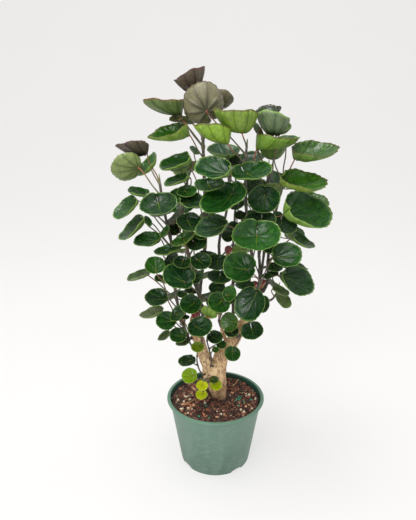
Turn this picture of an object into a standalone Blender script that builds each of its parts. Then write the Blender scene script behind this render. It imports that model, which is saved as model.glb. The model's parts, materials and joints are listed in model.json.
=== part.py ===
"""Potted aralia: a cut-back trunk in a green nursery pot, with dark shoots and round cupped leaves."""

import math
import random
from collections import namedtuple

import bmesh
import bpy
import numpy as np
from mathutils import Vector
from mathutils.bvhtree import BVHTree

# Driving dimensions of the pot and its filling, in metres.
POT_HEIGHT = 0.106
RIM_RADIUS = 0.076
NECK_RADIUS = 0.0718
FOOT_RADIUS = 0.0545
WALL = 0.0016
LIP_HEIGHT = 0.003
PLATE_TOP = 0.0056
PLATE_UNDER = 0.004
SOIL_TOP = 0.1005
GAP = 0.0003
FOOT_NOTCHES = 4
NOTCH_WIDTH = 0.020
NOTCH_HEIGHT = 0.004

# The photo's viewpoint, through which the plant's way points are read: pixels right and down, depth in mm.
EYE = np.array((-0.0118, -0.66, 0.5205))
TILT = math.radians(16.27)
FOCAL = 474.4
MIDDLE_X = 208.0
MIDDLE_Y = 260.0
LOOK = np.array((0.0, math.cos(TILT), -math.sin(TILT)))
LOOK_UP = np.array((0.0, math.sin(TILT), math.cos(TILT)))


def seen(x, y, depth):
    """The point in the room that the photo shows at x, y, when it lies depth mm behind the pot's axis."""
    across = (x - MIDDLE_X) / FOCAL
    up = (MIDDLE_Y - y) / FOCAL
    ray = LOOK + across * np.array((1.0, 0.0, 0.0)) + up * LOOK_UP
    return EYE + (depth / 1000 - EYE[1]) / ray[1] * ray


def unit(vector):
    return vector / np.linalg.norm(vector)


def smooth(rows, steps):
    """A Catmull-Rom line through the rows, with steps pieces between two of them."""
    rows = np.array(rows, dtype=float)
    ends = [2 * rows[0] - rows[1]] + list(rows) + [2 * rows[-1] - rows[-2]]
    line = []
    for a, b, c, d in zip(ends, ends[1:], ends[2:], ends[3:]):
        for step in range(steps):
            t = step / steps
            line.append(b + 0.5 * t * (c - a + t * (2 * a - 5 * b + 4 * c - d + t * (3 * (b - c) + d - a))))
    line.append(rows[-1])
    return np.array(line)


# Wooden limbs: way points x, y, depth and the radius there, both in mm.
LIMBS = {
    "trunk": [(217.5, 386, 2, 14.2), (214.5, 374, 1, 18.2), (214, 366, 1, 17.0), (213.5, 361, 1, 10.5)],
    "left": [
        (212, 373, 0, 11.0), (204.8, 357, -6, 8.9), (199.5, 342, -10, 7.7),
        (194.5, 330, -11, 6.4), (193.5, 321, -10, 5.6), (195.8, 312.6, -10, 5.0),
    ],
    "right": [
        (217, 372, 0, 12.5), (221.8, 356, 3, 11.2), (232.3, 341.5, 6, 9.4), (242, 327, 7, 8.4),
        (248.5, 312, 8, 7.2), (252.5, 297, 6, 4.6), (255, 283, 4, 3.4),
    ],
    "fork": [(249, 311, 8, 5.6), (256.5, 299, 13, 4.4), (261, 290, 17, 3.8), (263.5, 281, 18, 3.3)],
    "middle": [
        (229, 348, 6, 3.6), (225, 339, 13, 3.0), (220.5, 325, 16, 2.6), (219.5, 312, 16, 2.5),
        (223, 289, 15, 2.5), (227, 262, 15, 3.0), (228.4, 249.8, 12, 4.5),
    ],
}
SEALED = {"left": "seal_left", "middle": "seal_middle", "right": "seal_right", "fork": "seal_fork"}
SEAL_TOPS = {"left": 0.0024, "middle": 0.0060, "right": 0.0026, "fork": 0.0026}
SEAL_SKIRTS = {"left": 0.0052, "middle": 0.0022, "right": 0.0030, "fork": 0.0030}
TRUNK_FOOT_RADIUS = 0.0104
TRUNK_FOOT_Z = 0.060


def limb_line(name):
    """Centres and radii along a limb, in metres."""
    rows = []
    for x, y, depth, radius in LIMBS[name]:
        rows.append(np.append(seen(x, y, depth), radius / 1000))
    return smooth(rows, 2)


def seal_line(name):
    """The two ends of the wax cap on a limb's cut end, with its radius."""
    line = limb_line(name)
    way = unit(line[-1, :3] - line[-2, :3])
    radius = line[-1, 3] + 0.0013
    return np.array([np.append(line[-1, :3] + along * way, radius) for along in (-SEAL_SKIRTS[name], SEAL_TOPS[name])])


# Shoots: the limb each grows from, its base and tip radius in mm, and way points x, y, depth.
Shoot = namedtuple("Shoot", "limb base tip points")
SHOOTS = {
    "left_outer": Shoot("left", 2.4, 1.6, [
        (192, 334, -8), (184, 327, -14), (179, 310, -20), (175, 288, -24), (174, 262, -28),
        (170, 236, -30), (165, 215, -30), (162, 197, -30), (159, 174, -30),
    ]),
    "left_inner": Shoot("left", 2.6, 1.5, [
        (198, 324, -14), (203, 312, -20), (200, 300, -16), (196, 284, -16), (189, 256, -22),
        (184, 232, -26), (183, 210, -26), (186, 188, -24), (189, 172, -22),
    ]),
    "crown": Shoot("left", 3.0, 2.0, [
        (196, 321, 0), (199.5, 307, 9), (200, 290, 7), (203.5, 262, 6), (206, 230, 8),
        (205, 195, 8), (203.5, 158, 4), (203, 138, 2), (203, 118, 0),
    ]),
    "mid": Shoot("middle", 2.4, 1.5, [
        (226, 266, 12), (220, 258, 6), (219, 246, 8), (221, 232, 12), (226, 214, 14),
        (229, 190, 18), (228, 165, 22), (227, 148, 26),
    ]),
    "centre": Shoot("right", 3.0, 1.8, [
        (250, 306, -4), (247, 296, -12), (249, 280, -12), (252, 262, -10), (251, 248, -12),
        (248, 226, -20), (246, 205, -26), (245.5, 176, -30), (246, 155, -30), (247.5, 139, -30),
    ]),
    "right_mid": Shoot("right", 2.6, 1.6, [
        (254, 298, 0), (258, 288, -11), (260, 276, -9), (259.5, 262, -3), (259, 250, 0), (262, 228, 4),
        (265, 205, 6), (268, 180, 8), (269, 160, 8),
    ]),
    "right_outer": Shoot("fork", 2.7, 1.6, [
        (263, 291, 14), (268, 280, 10), (268, 262, 10), (270, 240, 14), (275, 215, 18),
        (281, 192, 20), (286, 176, 22),
    ]),
    "back_right": Shoot("fork", 2.6, 1.6, [
        (256, 302, 22), (258, 290, 34), (262, 268, 42), (266, 235, 52), (268, 205, 60), (268, 182, 64),
    ]),
    "back_mid": Shoot("right", 2.6, 1.6, [
        (236, 330, 20), (233, 314, 34), (233, 285, 44), (233, 250, 58), (235, 215, 68),
        (236, 190, 74), (235, 168, 78),
    ]),
    "back_left": Shoot("left", 2.6, 1.6, [
        (197, 332, 4), (196, 318, 18), (191, 290, 32), (188, 255, 46), (186, 220, 58),
        (187, 198, 64), (188, 180, 68),
    ]),
    "low_left": Shoot("left", 1.5, 1.1, [(193, 345, -8), (188, 339, -18), (185, 330, -26), (184, 322, -30)]),
    "front_left": Shoot("left", 1.8, 1.2, [(200, 346, -20), (202, 341, -30), (201, 334, -42)]),
    "front_mid": Shoot("middle", 1.8, 1.2, [
        (220, 326, 8), (219, 321, -8), (221, 314, -26), (223, 304, -42),
    ]),
    "front_right": Shoot("right", 2.0, 1.2, [
        (238, 337, -4), (243, 332, -20), (250, 322, -34), (253, 308, -46),
    ]),
    "foot_left": Shoot("trunk", 1.8, 1.1, [(209, 382, -16), (205, 381, -28), (200, 378, -38)]),
    "fork_left": Shoot("trunk", 1.4, 1.0, [(203, 374, -10), (199, 369, -18), (197, 361, -24), (197.5, 352, -28)]),
    "fork_front": Shoot("right", 1.4, 1.0, [
        (213, 367, -10), (211.5, 359, -19), (209, 349, -22), (207, 341, -25), (207, 335, -27),
    ]),
    "low_right": Shoot("fork", 1.9, 1.2, [(263, 303, 8), (271, 300, -2), (277, 292, -10), (280, 282, -14)]),
}

# Leaves read from the photo: the rim's centre and width in pixels, how open the rim's ellipse is
# (negative from below), its slant in degrees, where its notch lies in the rim's plane, how far out the
# stalk meets it and how deep it is cupped, both as shares of its radius, its depth in mm, and its shoot.
Leaf = namedtuple("Leaf", "x y wide open slant notch stalk cup depth shoot tone")
LEAVES = [
    Leaf(189.3, 73.9, 34, -0.10, 25, 250, 0.50, 0.83, 10, "crown", "purple"),
    Leaf(203.2, 103.6, 42, -0.99, 0, -60, 0.30, 0.50, -8, "centre", "khaki"),
    Leaf(221.3, 99.3, 24.5, -0.75, 0, None, 0.50, 0.40, 18, "crown", "khaki"),
    Leaf(163, 102, 40, -0.12, 1, 0, 0.90, 0.60, 0, "crown", "young"),
    Leaf(167.3, 131, 43, 0.20, 19, 0, 0.90, 0.50, -15, "crown", "bright"),
    Leaf(182, 118, 26, -0.10, 0, 0, 0.80, 0.40, 15, "crown", "young"),
    Leaf(236, 112.5, 46, -0.08, -4, 53, 0.50, 0.85, -35, "centre", "lime"),
    Leaf(212, 127, 40, -0.10, -5, 10, 0.85, 0.75, -45, "centre", "lime"),
    Leaf(267.8, 110.6, 28, 0.35, 8, None, 0.50, 0.40, 0, "right_mid", "dark"),
    Leaf(273, 118, 33, -0.35, -12, 0, 0.30, 0.95, -5, "right_mid", "grey"),
    Leaf(258, 128, 18, -0.20, -50, None, 0.50, 0.40, 10, "right_mid", "grey"),
    Leaf(277, 138.8, 42, -0.08, -9, 180, 0.85, 0.60, -20, "right_mid", "lime"),
    Leaf(286, 138, 28, 0.12, 0, None, 0.50, 0.30, 15, "right_outer", "dark"),
    Leaf(273, 149, 26, -0.10, 0, 270, 0.30, 0.75, -5, "right_mid", "dark"),
    Leaf(315, 149, 47, 0.33, -4, 190, 0.80, 0.40, -20, "right_outer", "young"),
    Leaf(223.5, 149.5, 33, 0.36, -2, None, 0.50, 0.30, 30, "mid", "dark"),
    Leaf(195, 150, 12, 0.40, -35, None, 0.50, 0.30, 40, "crown", "dark"),
    Leaf(252, 157, 26, 0.40, 0, None, 0.50, 0.30, 25, "mid", "dark"),
    Leaf(132.2, 145.9, 33, -0.25, 6, -20, 0.85, 0.45, 0, "left_outer", "purple"),
    Leaf(127, 167.2, 33, -0.80, 20, 0, 0.60, 0.40, -15, "left_outer", "khaki"),
    Leaf(147, 164, 28, 0.30, 52, None, 0.50, 0.30, 10, "left_outer", "vivid"),
    Leaf(174.6, 161.2, 34, 0.35, 24, 0, 0.90, 0.40, -28, "left_inner", "green"),
    Leaf(179, 166.5, 20, 0.40, 15, None, 0.50, 0.30, 6, "left_inner", "green"),
    Leaf(176, 179.5, 27, 0.30, 25, 0, 0.95, 0.30, -34, "left_inner", "green"),
    Leaf(138.5, 191, 22, 0.35, -5, None, 0.50, 0.30, -10, "left_outer", "green"),
    Leaf(125, 207.5, 30, 0.46, 45, 0, 0.90, 0.30, -20, "left_outer", "green"),
    Leaf(158.3, 203.5, 39, 0.58, 14, 90, 0.50, 0.30, -48, "left_outer", "grey"),
    Leaf(131.3, 227.6, 34, 0.30, 47, 0, 0.90, 0.30, -20, "left_outer", "green"),
    Leaf(148, 221, 12, 0.50, -60, None, 0.50, 0.30, -20, "left_outer", "green"),
    Leaf(147, 239, 28, 0.50, 15, 0, 0.90, 0.30, -34, "left_outer", "green"),
    Leaf(187, 191, 20, 0.60, 10, None, 0.50, 0.30, -46, "left_inner", "green"),
    Leaf(192, 200, 25, 0.60, 0, 180, 0.90, 0.30, -62, "left_inner", "dark"),
    Leaf(165, 231, 14, 0.40, 60, None, 0.50, 0.30, -45, "left_outer", "green"),
    Leaf(190, 222, 27, 0.70, -5, None, 0.50, 0.30, -56, "left_inner", "dark"),
    Leaf(174, 218, 20, 0.30, 40, None, 0.50, 0.30, -40, "left_inner", "bronze"),
    Leaf(211, 226, 36, 0.55, 22, 0, 0.80, 0.30, -74, "mid", "grey"),
    Leaf(201, 234, 14, 0.80, 0, None, 0.50, 0.30, -60, "left_inner", "green"),
    Leaf(183, 238.5, 28, 0.35, 28, None, 0.50, 0.30, -60, "left_inner", "bright"),
    Leaf(196.5, 243, 22, 0.65, 8, None, 0.50, 0.30, -66, "left_inner", "dark"),
    Leaf(168, 249, 30, 0.30, 14, None, 0.50, 0.30, -52, "left_outer", "green"),
    Leaf(155, 265, 20, 0.90, 0, -80, 0.50, 0.30, -52, "left_outer", "vivid"),
    Leaf(170.5, 262, 22, 0.60, 62, None, 0.50, 0.30, -46, "left_outer", "grey"),
    Leaf(139, 274, 27, 0.25, 25, None, 0.50, 0.30, -30, "left_outer", "bright"),
    Leaf(179, 276, 34, 0.75, -20, 0, 0.40, 0.30, -74, "left_inner", "dark"),
    Leaf(182, 262, 18, 0.70, 0, None, 0.50, 0.30, -52, "left_inner", "dark"),
    Leaf(159, 278, 9, 0.80, 0, None, 0.50, 0.30, -34, "left_outer", "green"),
    Leaf(201, 261, 21, 0.85, 0, 135, 0.50, 0.30, -70, "left_inner", "dark"),
    Leaf(217, 262, 24, 0.70, 0, None, 0.50, 0.30, -60, "mid", "dark"),
    Leaf(219, 277, 24, 0.55, -12, None, 0.50, 0.30, -54, "mid", "dark"),
    Leaf(198, 277, 15, 0.60, 60, None, 0.50, 0.30, -44, "left_inner", "green"),
    Leaf(191, 291, 14, 0.40, 0, None, 0.50, 0.30, -40, "left_inner", "grey"),
    Leaf(212.5, 167, 38, 0.55, 3, -10, 0.90, 0.36, -78, "centre", "dark"),
    Leaf(251.5, 170.5, 41, 0.45, 6, 125, 0.40, 0.30, -62, "centre", "green"),
    Leaf(209.5, 184, 31, 0.45, 4, None, 0.50, 0.30, -56, "crown", "green"),
    Leaf(223, 197.5, 49, 0.55, 22, 50, 0.60, 0.30, -84, "centre", "green"),
    Leaf(239.5, 266.5, 34, 0.90, -10, 5, 0.45, 0.30, -90, "centre", "green"),
    Leaf(256.5, 234.5, 49, 0.67, 0, 88, 0.27, 0.30, -100, "centre", "green"),
    Leaf(249.5, 304, 35, 0.88, 75, -7, 0.70, 0.30, -80, "front_right", "dark"),
    Leaf(263, 304, 17, 0.80, 85, None, 0.50, 0.30, -56, "low_right", "green"),
    Leaf(229.5, 293.5, 16, 0.85, 80, None, 0.50, 0.30, -66, "front_mid", "vivid"),
    Leaf(245, 285, 20, 0.40, 0, None, 0.50, 0.30, -60, "front_right", "green"),
    Leaf(219, 302.5, 23, 0.90, -20, None, 0.50, 0.30, -72, "front_mid", "green"),
    Leaf(209, 312, 18, -0.50, -30, None, 0.50, 0.30, -60, "front_mid", "khaki"),
    Leaf(229, 322, 20, 0.88, 85, -80, 0.75, 0.30, -62, "front_mid", "bright"),
    Leaf(231.5, 331, 15, 0.80, 0, None, 0.50, 0.30, -52, "front_mid", "dark"),
    Leaf(252, 330.5, 22.5, 0.82, 5, 95, 0.35, 0.30, -60, "front_right", "dark"),
    Leaf(200, 326.5, 25, 0.82, 10, 140, 0.45, 0.30, -64, "front_left", "dark"),
    Leaf(215, 337, 16, 0.80, 0, None, 0.50, 0.30, -44, "fork_front", "dark"),
    Leaf(215.5, 349.5, 7, 0.85, 0, None, 0.50, 0.30, -34, "fork_front", "vivid"),
    Leaf(221.5, 344.5, 10, 0.80, 0, None, 0.50, 0.30, -36, "fork_front", "green"),
    Leaf(304, 180, 48, 0.38, -14, 170, 0.90, 0.40, -40, "right_outer", "bright"),
    Leaf(277, 179, 26, 0.50, -35, None, 0.50, 0.30, 15, "right_outer", "dark"),
    Leaf(309, 209.3, 51.5, 0.57, -32, 220, 0.90, 0.40, -46, "right_mid", "green"),
    Leaf(312, 199, 38, 0.35, -22, None, 0.50, 0.30, 12, "right_outer", "bright"),
    Leaf(264, 199, 33, 0.85, 0, None, 0.50, 0.30, -48, "right_mid", "dark"),
    Leaf(272, 189, 20, -0.60, 0, None, 0.50, 0.30, -20, "right_mid", "khaki"),
    Leaf(283, 223, 30, 0.62, -25, None, 0.50, 0.30, -36, "right_outer", "dark"),
    Leaf(300.5, 238.6, 33, 0.27, -33, None, 0.50, 0.30, -22, "right_outer", "green"),
    Leaf(287, 254.5, 31, 0.80, -8, 190, 0.80, 0.30, -66, "right_mid", "green"),
    Leaf(298.6, 280.6, 35, 0.75, -45, 200, 0.95, 0.30, -52, "low_right", "dark"),
    Leaf(275, 267, 16, 0.60, 0, None, 0.50, 0.30, -30, "right_outer", "green"),
    Leaf(281, 290.3, 18, 0.45, -28, 170, 0.80, 0.30, -34, "low_right", "khaki"),
    Leaf(283.6, 299.8, 19, 0.66, -50, None, 0.50, 0.30, -26, "low_right", "khaki"),
    Leaf(267, 276, 10, 0.60, 0, None, 0.50, 0.30, -24, "right_outer", "green"),
    Leaf(156.5, 297, 24, 0.72, 3, 0, 0.80, 0.30, -40, "low_left", "dark"),
    Leaf(151.5, 312, 25, 0.35, 18, None, 0.50, 0.30, -24, "low_left", "khaki"),
    Leaf(166, 320.5, 21, 0.88, 0, 10, 0.80, 0.30, -46, "low_left", "green"),
    Leaf(190.5, 304, 22, 0.88, 0, None, 0.50, 0.30, -50, "left_inner", "green"),
    Leaf(178, 313, 20, 0.60, 50, None, 0.50, 0.30, -42, "low_left", "green"),
    Leaf(185, 317, 9, 0.50, 0, None, 0.50, 0.30, -44, "low_left", "bright"),
    Leaf(178, 335, 17, 0.90, 0, 0, 0.60, 0.30, -42, "low_left", "green"),
    Leaf(183, 342, 16, 0.40, 15, None, 0.50, 0.30, -30, "low_left", "bright"),
    Leaf(164, 335.5, 15, 0.45, 35, None, 0.50, 0.30, -30, "low_left", "green"),
    Leaf(197.5, 347, 13, 0.80, 0, None, 0.50, 0.30, -46, "fork_left", "spring"),
    Leaf(187, 360.5, 18, 0.62, 10, None, 0.50, 0.30, -36, "fork_left", "dark"),
    Leaf(189.5, 375.5, 16, 0.95, 0, None, 0.50, 0.30, -50, "foot_left", "spring"),
    Leaf(214, 379.5, 9, 0.80, 0, None, 0.50, 0.30, -48, "foot_left", "young"),
    Leaf(216, 385, 12, 0.90, 0, None, 0.50, 0.30, -36, "foot_left", "spring"),
    Leaf(202, 385.5, 12, 0.80, 0, None, 0.50, 0.30, -54, "foot_left", "spring"),
    Leaf(201.5, 394.5, 12, 0.80, 0, None, 0.50, 0.30, -40, "foot_left", "spring"),
    Leaf(232.5, 353.5, 16, 0.95, 0, 90, 0.50, 0.30, -40, "front_right", "green"),
    Leaf(236, 160, 22, 0.55, 0, None, 0.50, 0.30, 20, "mid", "deep"),
    Leaf(256, 187, 28, 0.65, 0, None, 0.50, 0.30, -8, "centre", "deep"),
    Leaf(261, 219, 31, 0.55, 0, None, 0.50, 0.30, -62, "right_mid", "grey"),
    Leaf(228, 236, 13, 0.90, 0, None, 0.50, 0.30, -52, "centre", "deep"),
    Leaf(238, 205, 16, 0.45, 30, None, 0.50, 0.30, -48, "centre", "dark"),
    Leaf(217, 288, 17, 0.75, 0, None, 0.50, 0.30, -30, "mid", "dark"),
    Leaf(173, 229, 16, 0.80, 0, None, 0.50, 0.30, -36, "left_inner", "deep"),
    Leaf(176, 118, 14, 0.45, 15, None, 0.50, 0.30, 8, "crown", "bronze"),
    Leaf(207, 254, 18, 0.35, -5, None, 0.50, 0.30, -34, "left_inner", "dark"),
    Leaf(182, 294, 10, 0.75, 0, None, 0.50, 0.30, -34, "left_inner", "dark"),
    Leaf(272, 274, 13, 0.50, 10, None, 0.50, 0.30, -6, "right_outer", "dark"),
    Leaf(240, 215, 12, 0.70, 0, None, 0.50, 0.30, -46, "centre", "deep"),
    Leaf(282.3, 127, 18, 0.75, 10, None, 0.50, 0.30, 14, "right_mid", "khaki"),
]

# Leaves out of the photo's sight: how many each back shoot tries, and the share of the shoot they start at.
HIDDEN = {
    "back_left": (20, 0.22), "back_mid": (20, 0.22), "back_right": (20, 0.22),
    "left_outer": (8, 0.25), "crown": (10, 0.3), "right_outer": (9, 0.2), "right_mid": (6, 0.3),
}
GOLDEN_ANGLE = math.radians(137.5)

# Short shoots on which stalks meet so closely that they are joined by the other solver.
CROWDED = ("front_mid",)

# Thickness of a blade and the half width of a stalk where it meets the blade.
BLADE = 0.0008
STALK_HALF = 0.0009
FLARE = 1.25
WAVE = 0.045


# A leaf in its place: three directions, its radius, and how its blade is shaped.
Blade = namedtuple("Blade", "centre normal toward side radius stalk cup phase shoot tone")


def shoot_line(shoot, wood):
    """Centres and radii along a shoot that starts on its limb's bark and then follows its way points."""
    limb = limb_line(shoot.limb)
    way = [seen(*point) for point in shoot.points]
    near = np.argmin(np.linalg.norm(limb[:, :3] - way[0], axis=1))
    near = min(max(near, 1), len(limb) - 2)
    along = unit(limb[near + 1, :3] - limb[near - 1, :3])
    out = way[1] - limb[near, :3]
    out = unit(out - out.dot(along) * along)
    base = shoot.base / 1000
    for lift in np.arange(GAP, 0.008, 0.0002):
        bark = limb[near, :3] + (limb[near, 3] + lift) * out
        collar = np.array((bark, bark + 0.004 * out))
        if not wood.hits(tube_shell(collar, (base, base), 2 * GAP), "", ()):
            break
    line = np.vstack((bark, smooth([bark + 0.004 * out] + way[1:], 2)))
    share = np.linspace(0, 1, len(line))
    radii = (shoot.base + (shoot.tip - shoot.base) * share) / 1000
    radii[-1] *= 0.4
    return np.column_stack((line, radii))


def blade_from_view(leaf, depth, stem):
    """The leaf's place when its rim's centre lies at this depth."""
    centre = seen(leaf.x, leaf.y, depth)
    reach = centre - EYE
    radius = leaf.wide / 2 * reach.dot(LOOK) / FOCAL
    to_eye = -unit(reach)
    right = unit(np.cross(LOOK_UP, to_eye))
    upward = np.cross(to_eye, right)
    slant = math.radians(leaf.slant)
    major = math.cos(slant) * right + math.sin(slant) * upward
    lift = math.cos(slant) * upward - math.sin(slant) * right
    edge = math.sqrt(1 - leaf.open ** 2)
    normal = leaf.open * to_eye + edge * lift
    minor = abs(leaf.open) * lift - math.copysign(edge, leaf.open) * to_eye
    if leaf.notch is None:
        heights = stem[:, 2] + 0.012
        near = np.argmin(np.abs(heights - centre[2]))
        toward = stem[near, :3] - centre
        toward = unit(toward - toward.dot(normal) * normal)
    else:
        turn = math.radians(leaf.notch)
        toward = math.cos(turn) * major + math.sin(turn) * minor
    side = np.cross(normal, toward)
    phase = leaf.x * 0.7 + leaf.y
    return Blade(centre, normal, toward, side, radius, leaf.stalk, leaf.cup, phase, leaf.shoot, leaf.tone)


def blade_point(blade, angle, share, drop=0.0, grow=0.0):
    """A point of the blade's upper face, from the stalk (share 0) to the rim (share 1)."""
    reach = 1 + grow / blade.radius
    ahead = (1 - share) * blade.stalk + share * reach * math.cos(angle)
    across = share * reach * math.sin(angle)
    high = -blade.cup * (1 - share ** FLARE) + WAVE * share ** 2 * math.sin(3 * angle + blade.phase)
    flat = ahead * blade.toward + across * blade.side + high * blade.normal
    return blade.centre + blade.radius * flat - drop * blade.normal


def rim_angles(blade):
    """Angles of the rim points, from one side of the notch round to the other."""
    count = 11 if blade.radius > 0.014 else 8
    start = math.radians(16 if blade.radius > 0.014 else 22)
    return [start + (2 * math.pi - 2 * start) * k / (count - 1) for k in range(count)]


def inner_share(blade):
    return (0.22 * blade.radius + 0.0005) / (blade.radius * (1 + blade.stalk))


def blade_shell(blade, margin):
    """The blade as a closed shell that is margin fatter all round."""
    slope = math.sqrt(1 + (1.3 * blade.cup) ** 2)
    points = []
    for drop in (-margin * slope, (BLADE + margin) * slope):
        points.append(blade_point(blade, math.pi, inner_share(blade), drop))
        foot = blade_point(blade, 0, 0, drop) + margin * blade.toward
        points.append(foot + (STALK_HALF + margin) * blade.side)
        for angle in rim_angles(blade):
            points.append(blade_point(blade, angle, 1, drop, margin))
        points.append(foot - (STALK_HALF + margin) * blade.side)
    half = len(points) // 2
    faces = []
    for k in range(1, half):
        after = k % (half - 1) + 1
        faces.append((0, k, after))
        faces.append((half, half + after, half + k))
        faces.append((k, half + k, half + after))
        faces.append((k, half + after, after))
    return np.array(points), faces


def tube_shell(line, radii, margin):
    """A six-sided closed tube round a line, margin fatter all round."""
    points = []
    across = np.cross(line[1] - line[0], (0.31, 0.52, 0.8))
    for k, centre in enumerate(line):
        ahead = unit(line[min(k + 1, len(line) - 1)] - line[max(k - 1, 0)])
        across = unit(across - across.dot(ahead) * ahead)
        beside = np.cross(ahead, across)
        for corner in range(6):
            turn = math.pi / 3 * corner
            spoke = math.cos(turn) * across + math.sin(turn) * beside
            points.append(centre + (radii[k] + margin) / math.cos(math.pi / 6) * spoke)
    faces = [(0, 2, 1), (0, 3, 2), (0, 4, 3), (0, 5, 4)]
    last = 6 * (len(line) - 1)
    for a, b, c in list(faces):
        faces.append((last + a, last + c, last + b))
    for ring in range(len(line) - 1):
        for corner in range(6):
            a = 6 * ring + corner
            b = 6 * ring + (corner + 1) % 6
            faces.append((a, b, b + 6))
            faces.append((a, b + 6, a + 6))
    return np.array(points), faces


class Crowd:
    """What already has its place, as shells to keep clear of."""

    def __init__(self):
        self.trees = []
        self.boxes = np.zeros((0, 6))
        self.owners = []
        self.kinds = []

    def add(self, shell, owner, kind):
        points, faces = shell
        self.trees.append(BVHTree.FromPolygons(points.tolist(), faces))
        self.boxes = np.vstack((self.boxes, np.append(points.min(axis=0), points.max(axis=0))))
        self.owners.append(owner)
        self.kinds.append(kind)

    def hits(self, shell, owner, skip):
        """A cost for what the shell runs into: 1 for its own shoot's pieces and 100 for any other."""
        points, faces = shell
        low, high = points.min(axis=0), points.max(axis=0)
        near = np.all((self.boxes[:, :3] < high) & (self.boxes[:, 3:] > low), axis=1)
        tree = None
        cost = 0
        for index in np.flatnonzero(near):
            if index in skip:
                continue
            tree = tree or BVHTree.FromPolygons(points.tolist(), faces)
            if self.trees[index].overlap(tree):
                cost += 1 if self.owners[index] == owner else 100
        return cost


def stalk_line(blade, stem, at, bow):
    """Centres of a leaf stalk, from the blade's notch down to the middle of the stem at point number at."""
    start = blade_point(blade, 0, 0, BLADE / 2)
    root = stem[at, :3]
    along = unit(stem[min(at + 1, len(stem) - 1), :3] - stem[max(at - 1, 0), :3])
    away = start - root
    length = np.linalg.norm(away)
    away = away - away.dot(along) * along
    away = away / max(np.linalg.norm(away), 1e-6)
    sway = unit(np.cross(along, away) + 1e-9)
    first = start + 0.28 * length * unit(0.55 * blade.toward - 0.84 * blade.normal) + bow * sway
    second = root + 0.42 * length * unit(0.72 * along + 0.7 * away) + bow * sway
    points = []
    for t in (0.0, 0.0021 / length, 0.34, 0.66, 1.0) if blade.radius > 0.012 else (0.0, 0.1, 0.5, 1.0):
        s = 1 - t
        points.append(s ** 3 * start + 3 * s * s * t * first + 3 * s * t * t * second + t ** 3 * root)
    points[1] = start + 0.0018 * unit(0.8 * blade.toward - 0.6 * blade.normal)
    return np.array(points)


def stalk_radii(line):
    """Half widths of a stalk: slightly thicker toward the stem."""
    return np.linspace(0.0009, 0.0012, len(line))


def route(blade, stem, crowd, skip):
    """The stalk that runs into least on its way to this stem, with its cost."""
    start = blade_point(blade, 0, 0)
    inner = range(3, len(stem) - 1)
    level = min(inner, key=lambda k: abs(stem[k, 2] - start[2]))
    reach = max(np.linalg.norm(stem[level, :2] - start[:2]), 0.008)
    best = None
    for drop in (1.0, 0.75, 1.3, 0.5, 1.7, 0.25, 2.2, 0.0, 2.8):
        at = min(inner, key=lambda k: abs(stem[k, 2] - start[2] + drop * reach))
        for bow in (0.0, 0.005, -0.005, 0.010, -0.010, 0.016, -0.016):
            line = stalk_line(blade, stem, at, bow)
            cost = crowd.hits(tube_shell(line[1:], stalk_radii(line)[1:], 0.0006), blade.shoot, skip)
            if best is None or cost < best[0]:
                best = (cost, line)
            if cost == 0:
                return best
    return best


def hidden_blade(stem, name, share, turn, draw):
    """A leaf that stands out from the stem in direction turn, at this share of the stem's length."""
    at = share * (len(stem) - 1)
    low = min(int(at), len(stem) - 2)
    root = stem[low, :3] + (at - low) * (stem[low + 1, :3] - stem[low, :3])
    out = np.array((math.cos(turn), math.sin(turn), 0.0))
    length = draw.uniform(0.026, 0.052)
    radius = draw.uniform(0.012, 0.023)
    rise = draw.uniform(0.35, 0.8)
    lean = math.radians(draw.uniform(15, 55))
    foot = root + length * unit(out + rise * np.array((0.0, 0.0, 1.0)))
    normal = math.cos(lean) * np.array((0.0, 0.0, 1.0)) + math.sin(lean) * out
    toward = unit(-out - (-out).dot(normal) * normal)
    cup = draw.uniform(0.15, 0.4)
    centre = foot - 0.5 * radius * toward + cup * radius * normal
    side = np.cross(normal, toward)
    tone = draw.choice(("green", "green", "dark", "bright", "grey"))
    return Blade(centre, normal, toward, side, radius, 0.5, cup, 9 * turn, name, tone)


def shade_share(blade, crowd):
    """How much of the blade the photo's viewpoint can't see for other blades."""
    covered = 0
    for k in range(12):
        target = blade_point(blade, math.pi / 6 * k, 1, 0, 0.001)
        ray = target - EYE
        length = np.linalg.norm(ray)
        for index, kind in enumerate(crowd.kinds):
            if kind != "blade":
                continue
            if crowd.trees[index].ray_cast(EYE.tolist(), (ray / length).tolist(), length)[0]:
                covered += 1
                break
    return covered / 12


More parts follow.
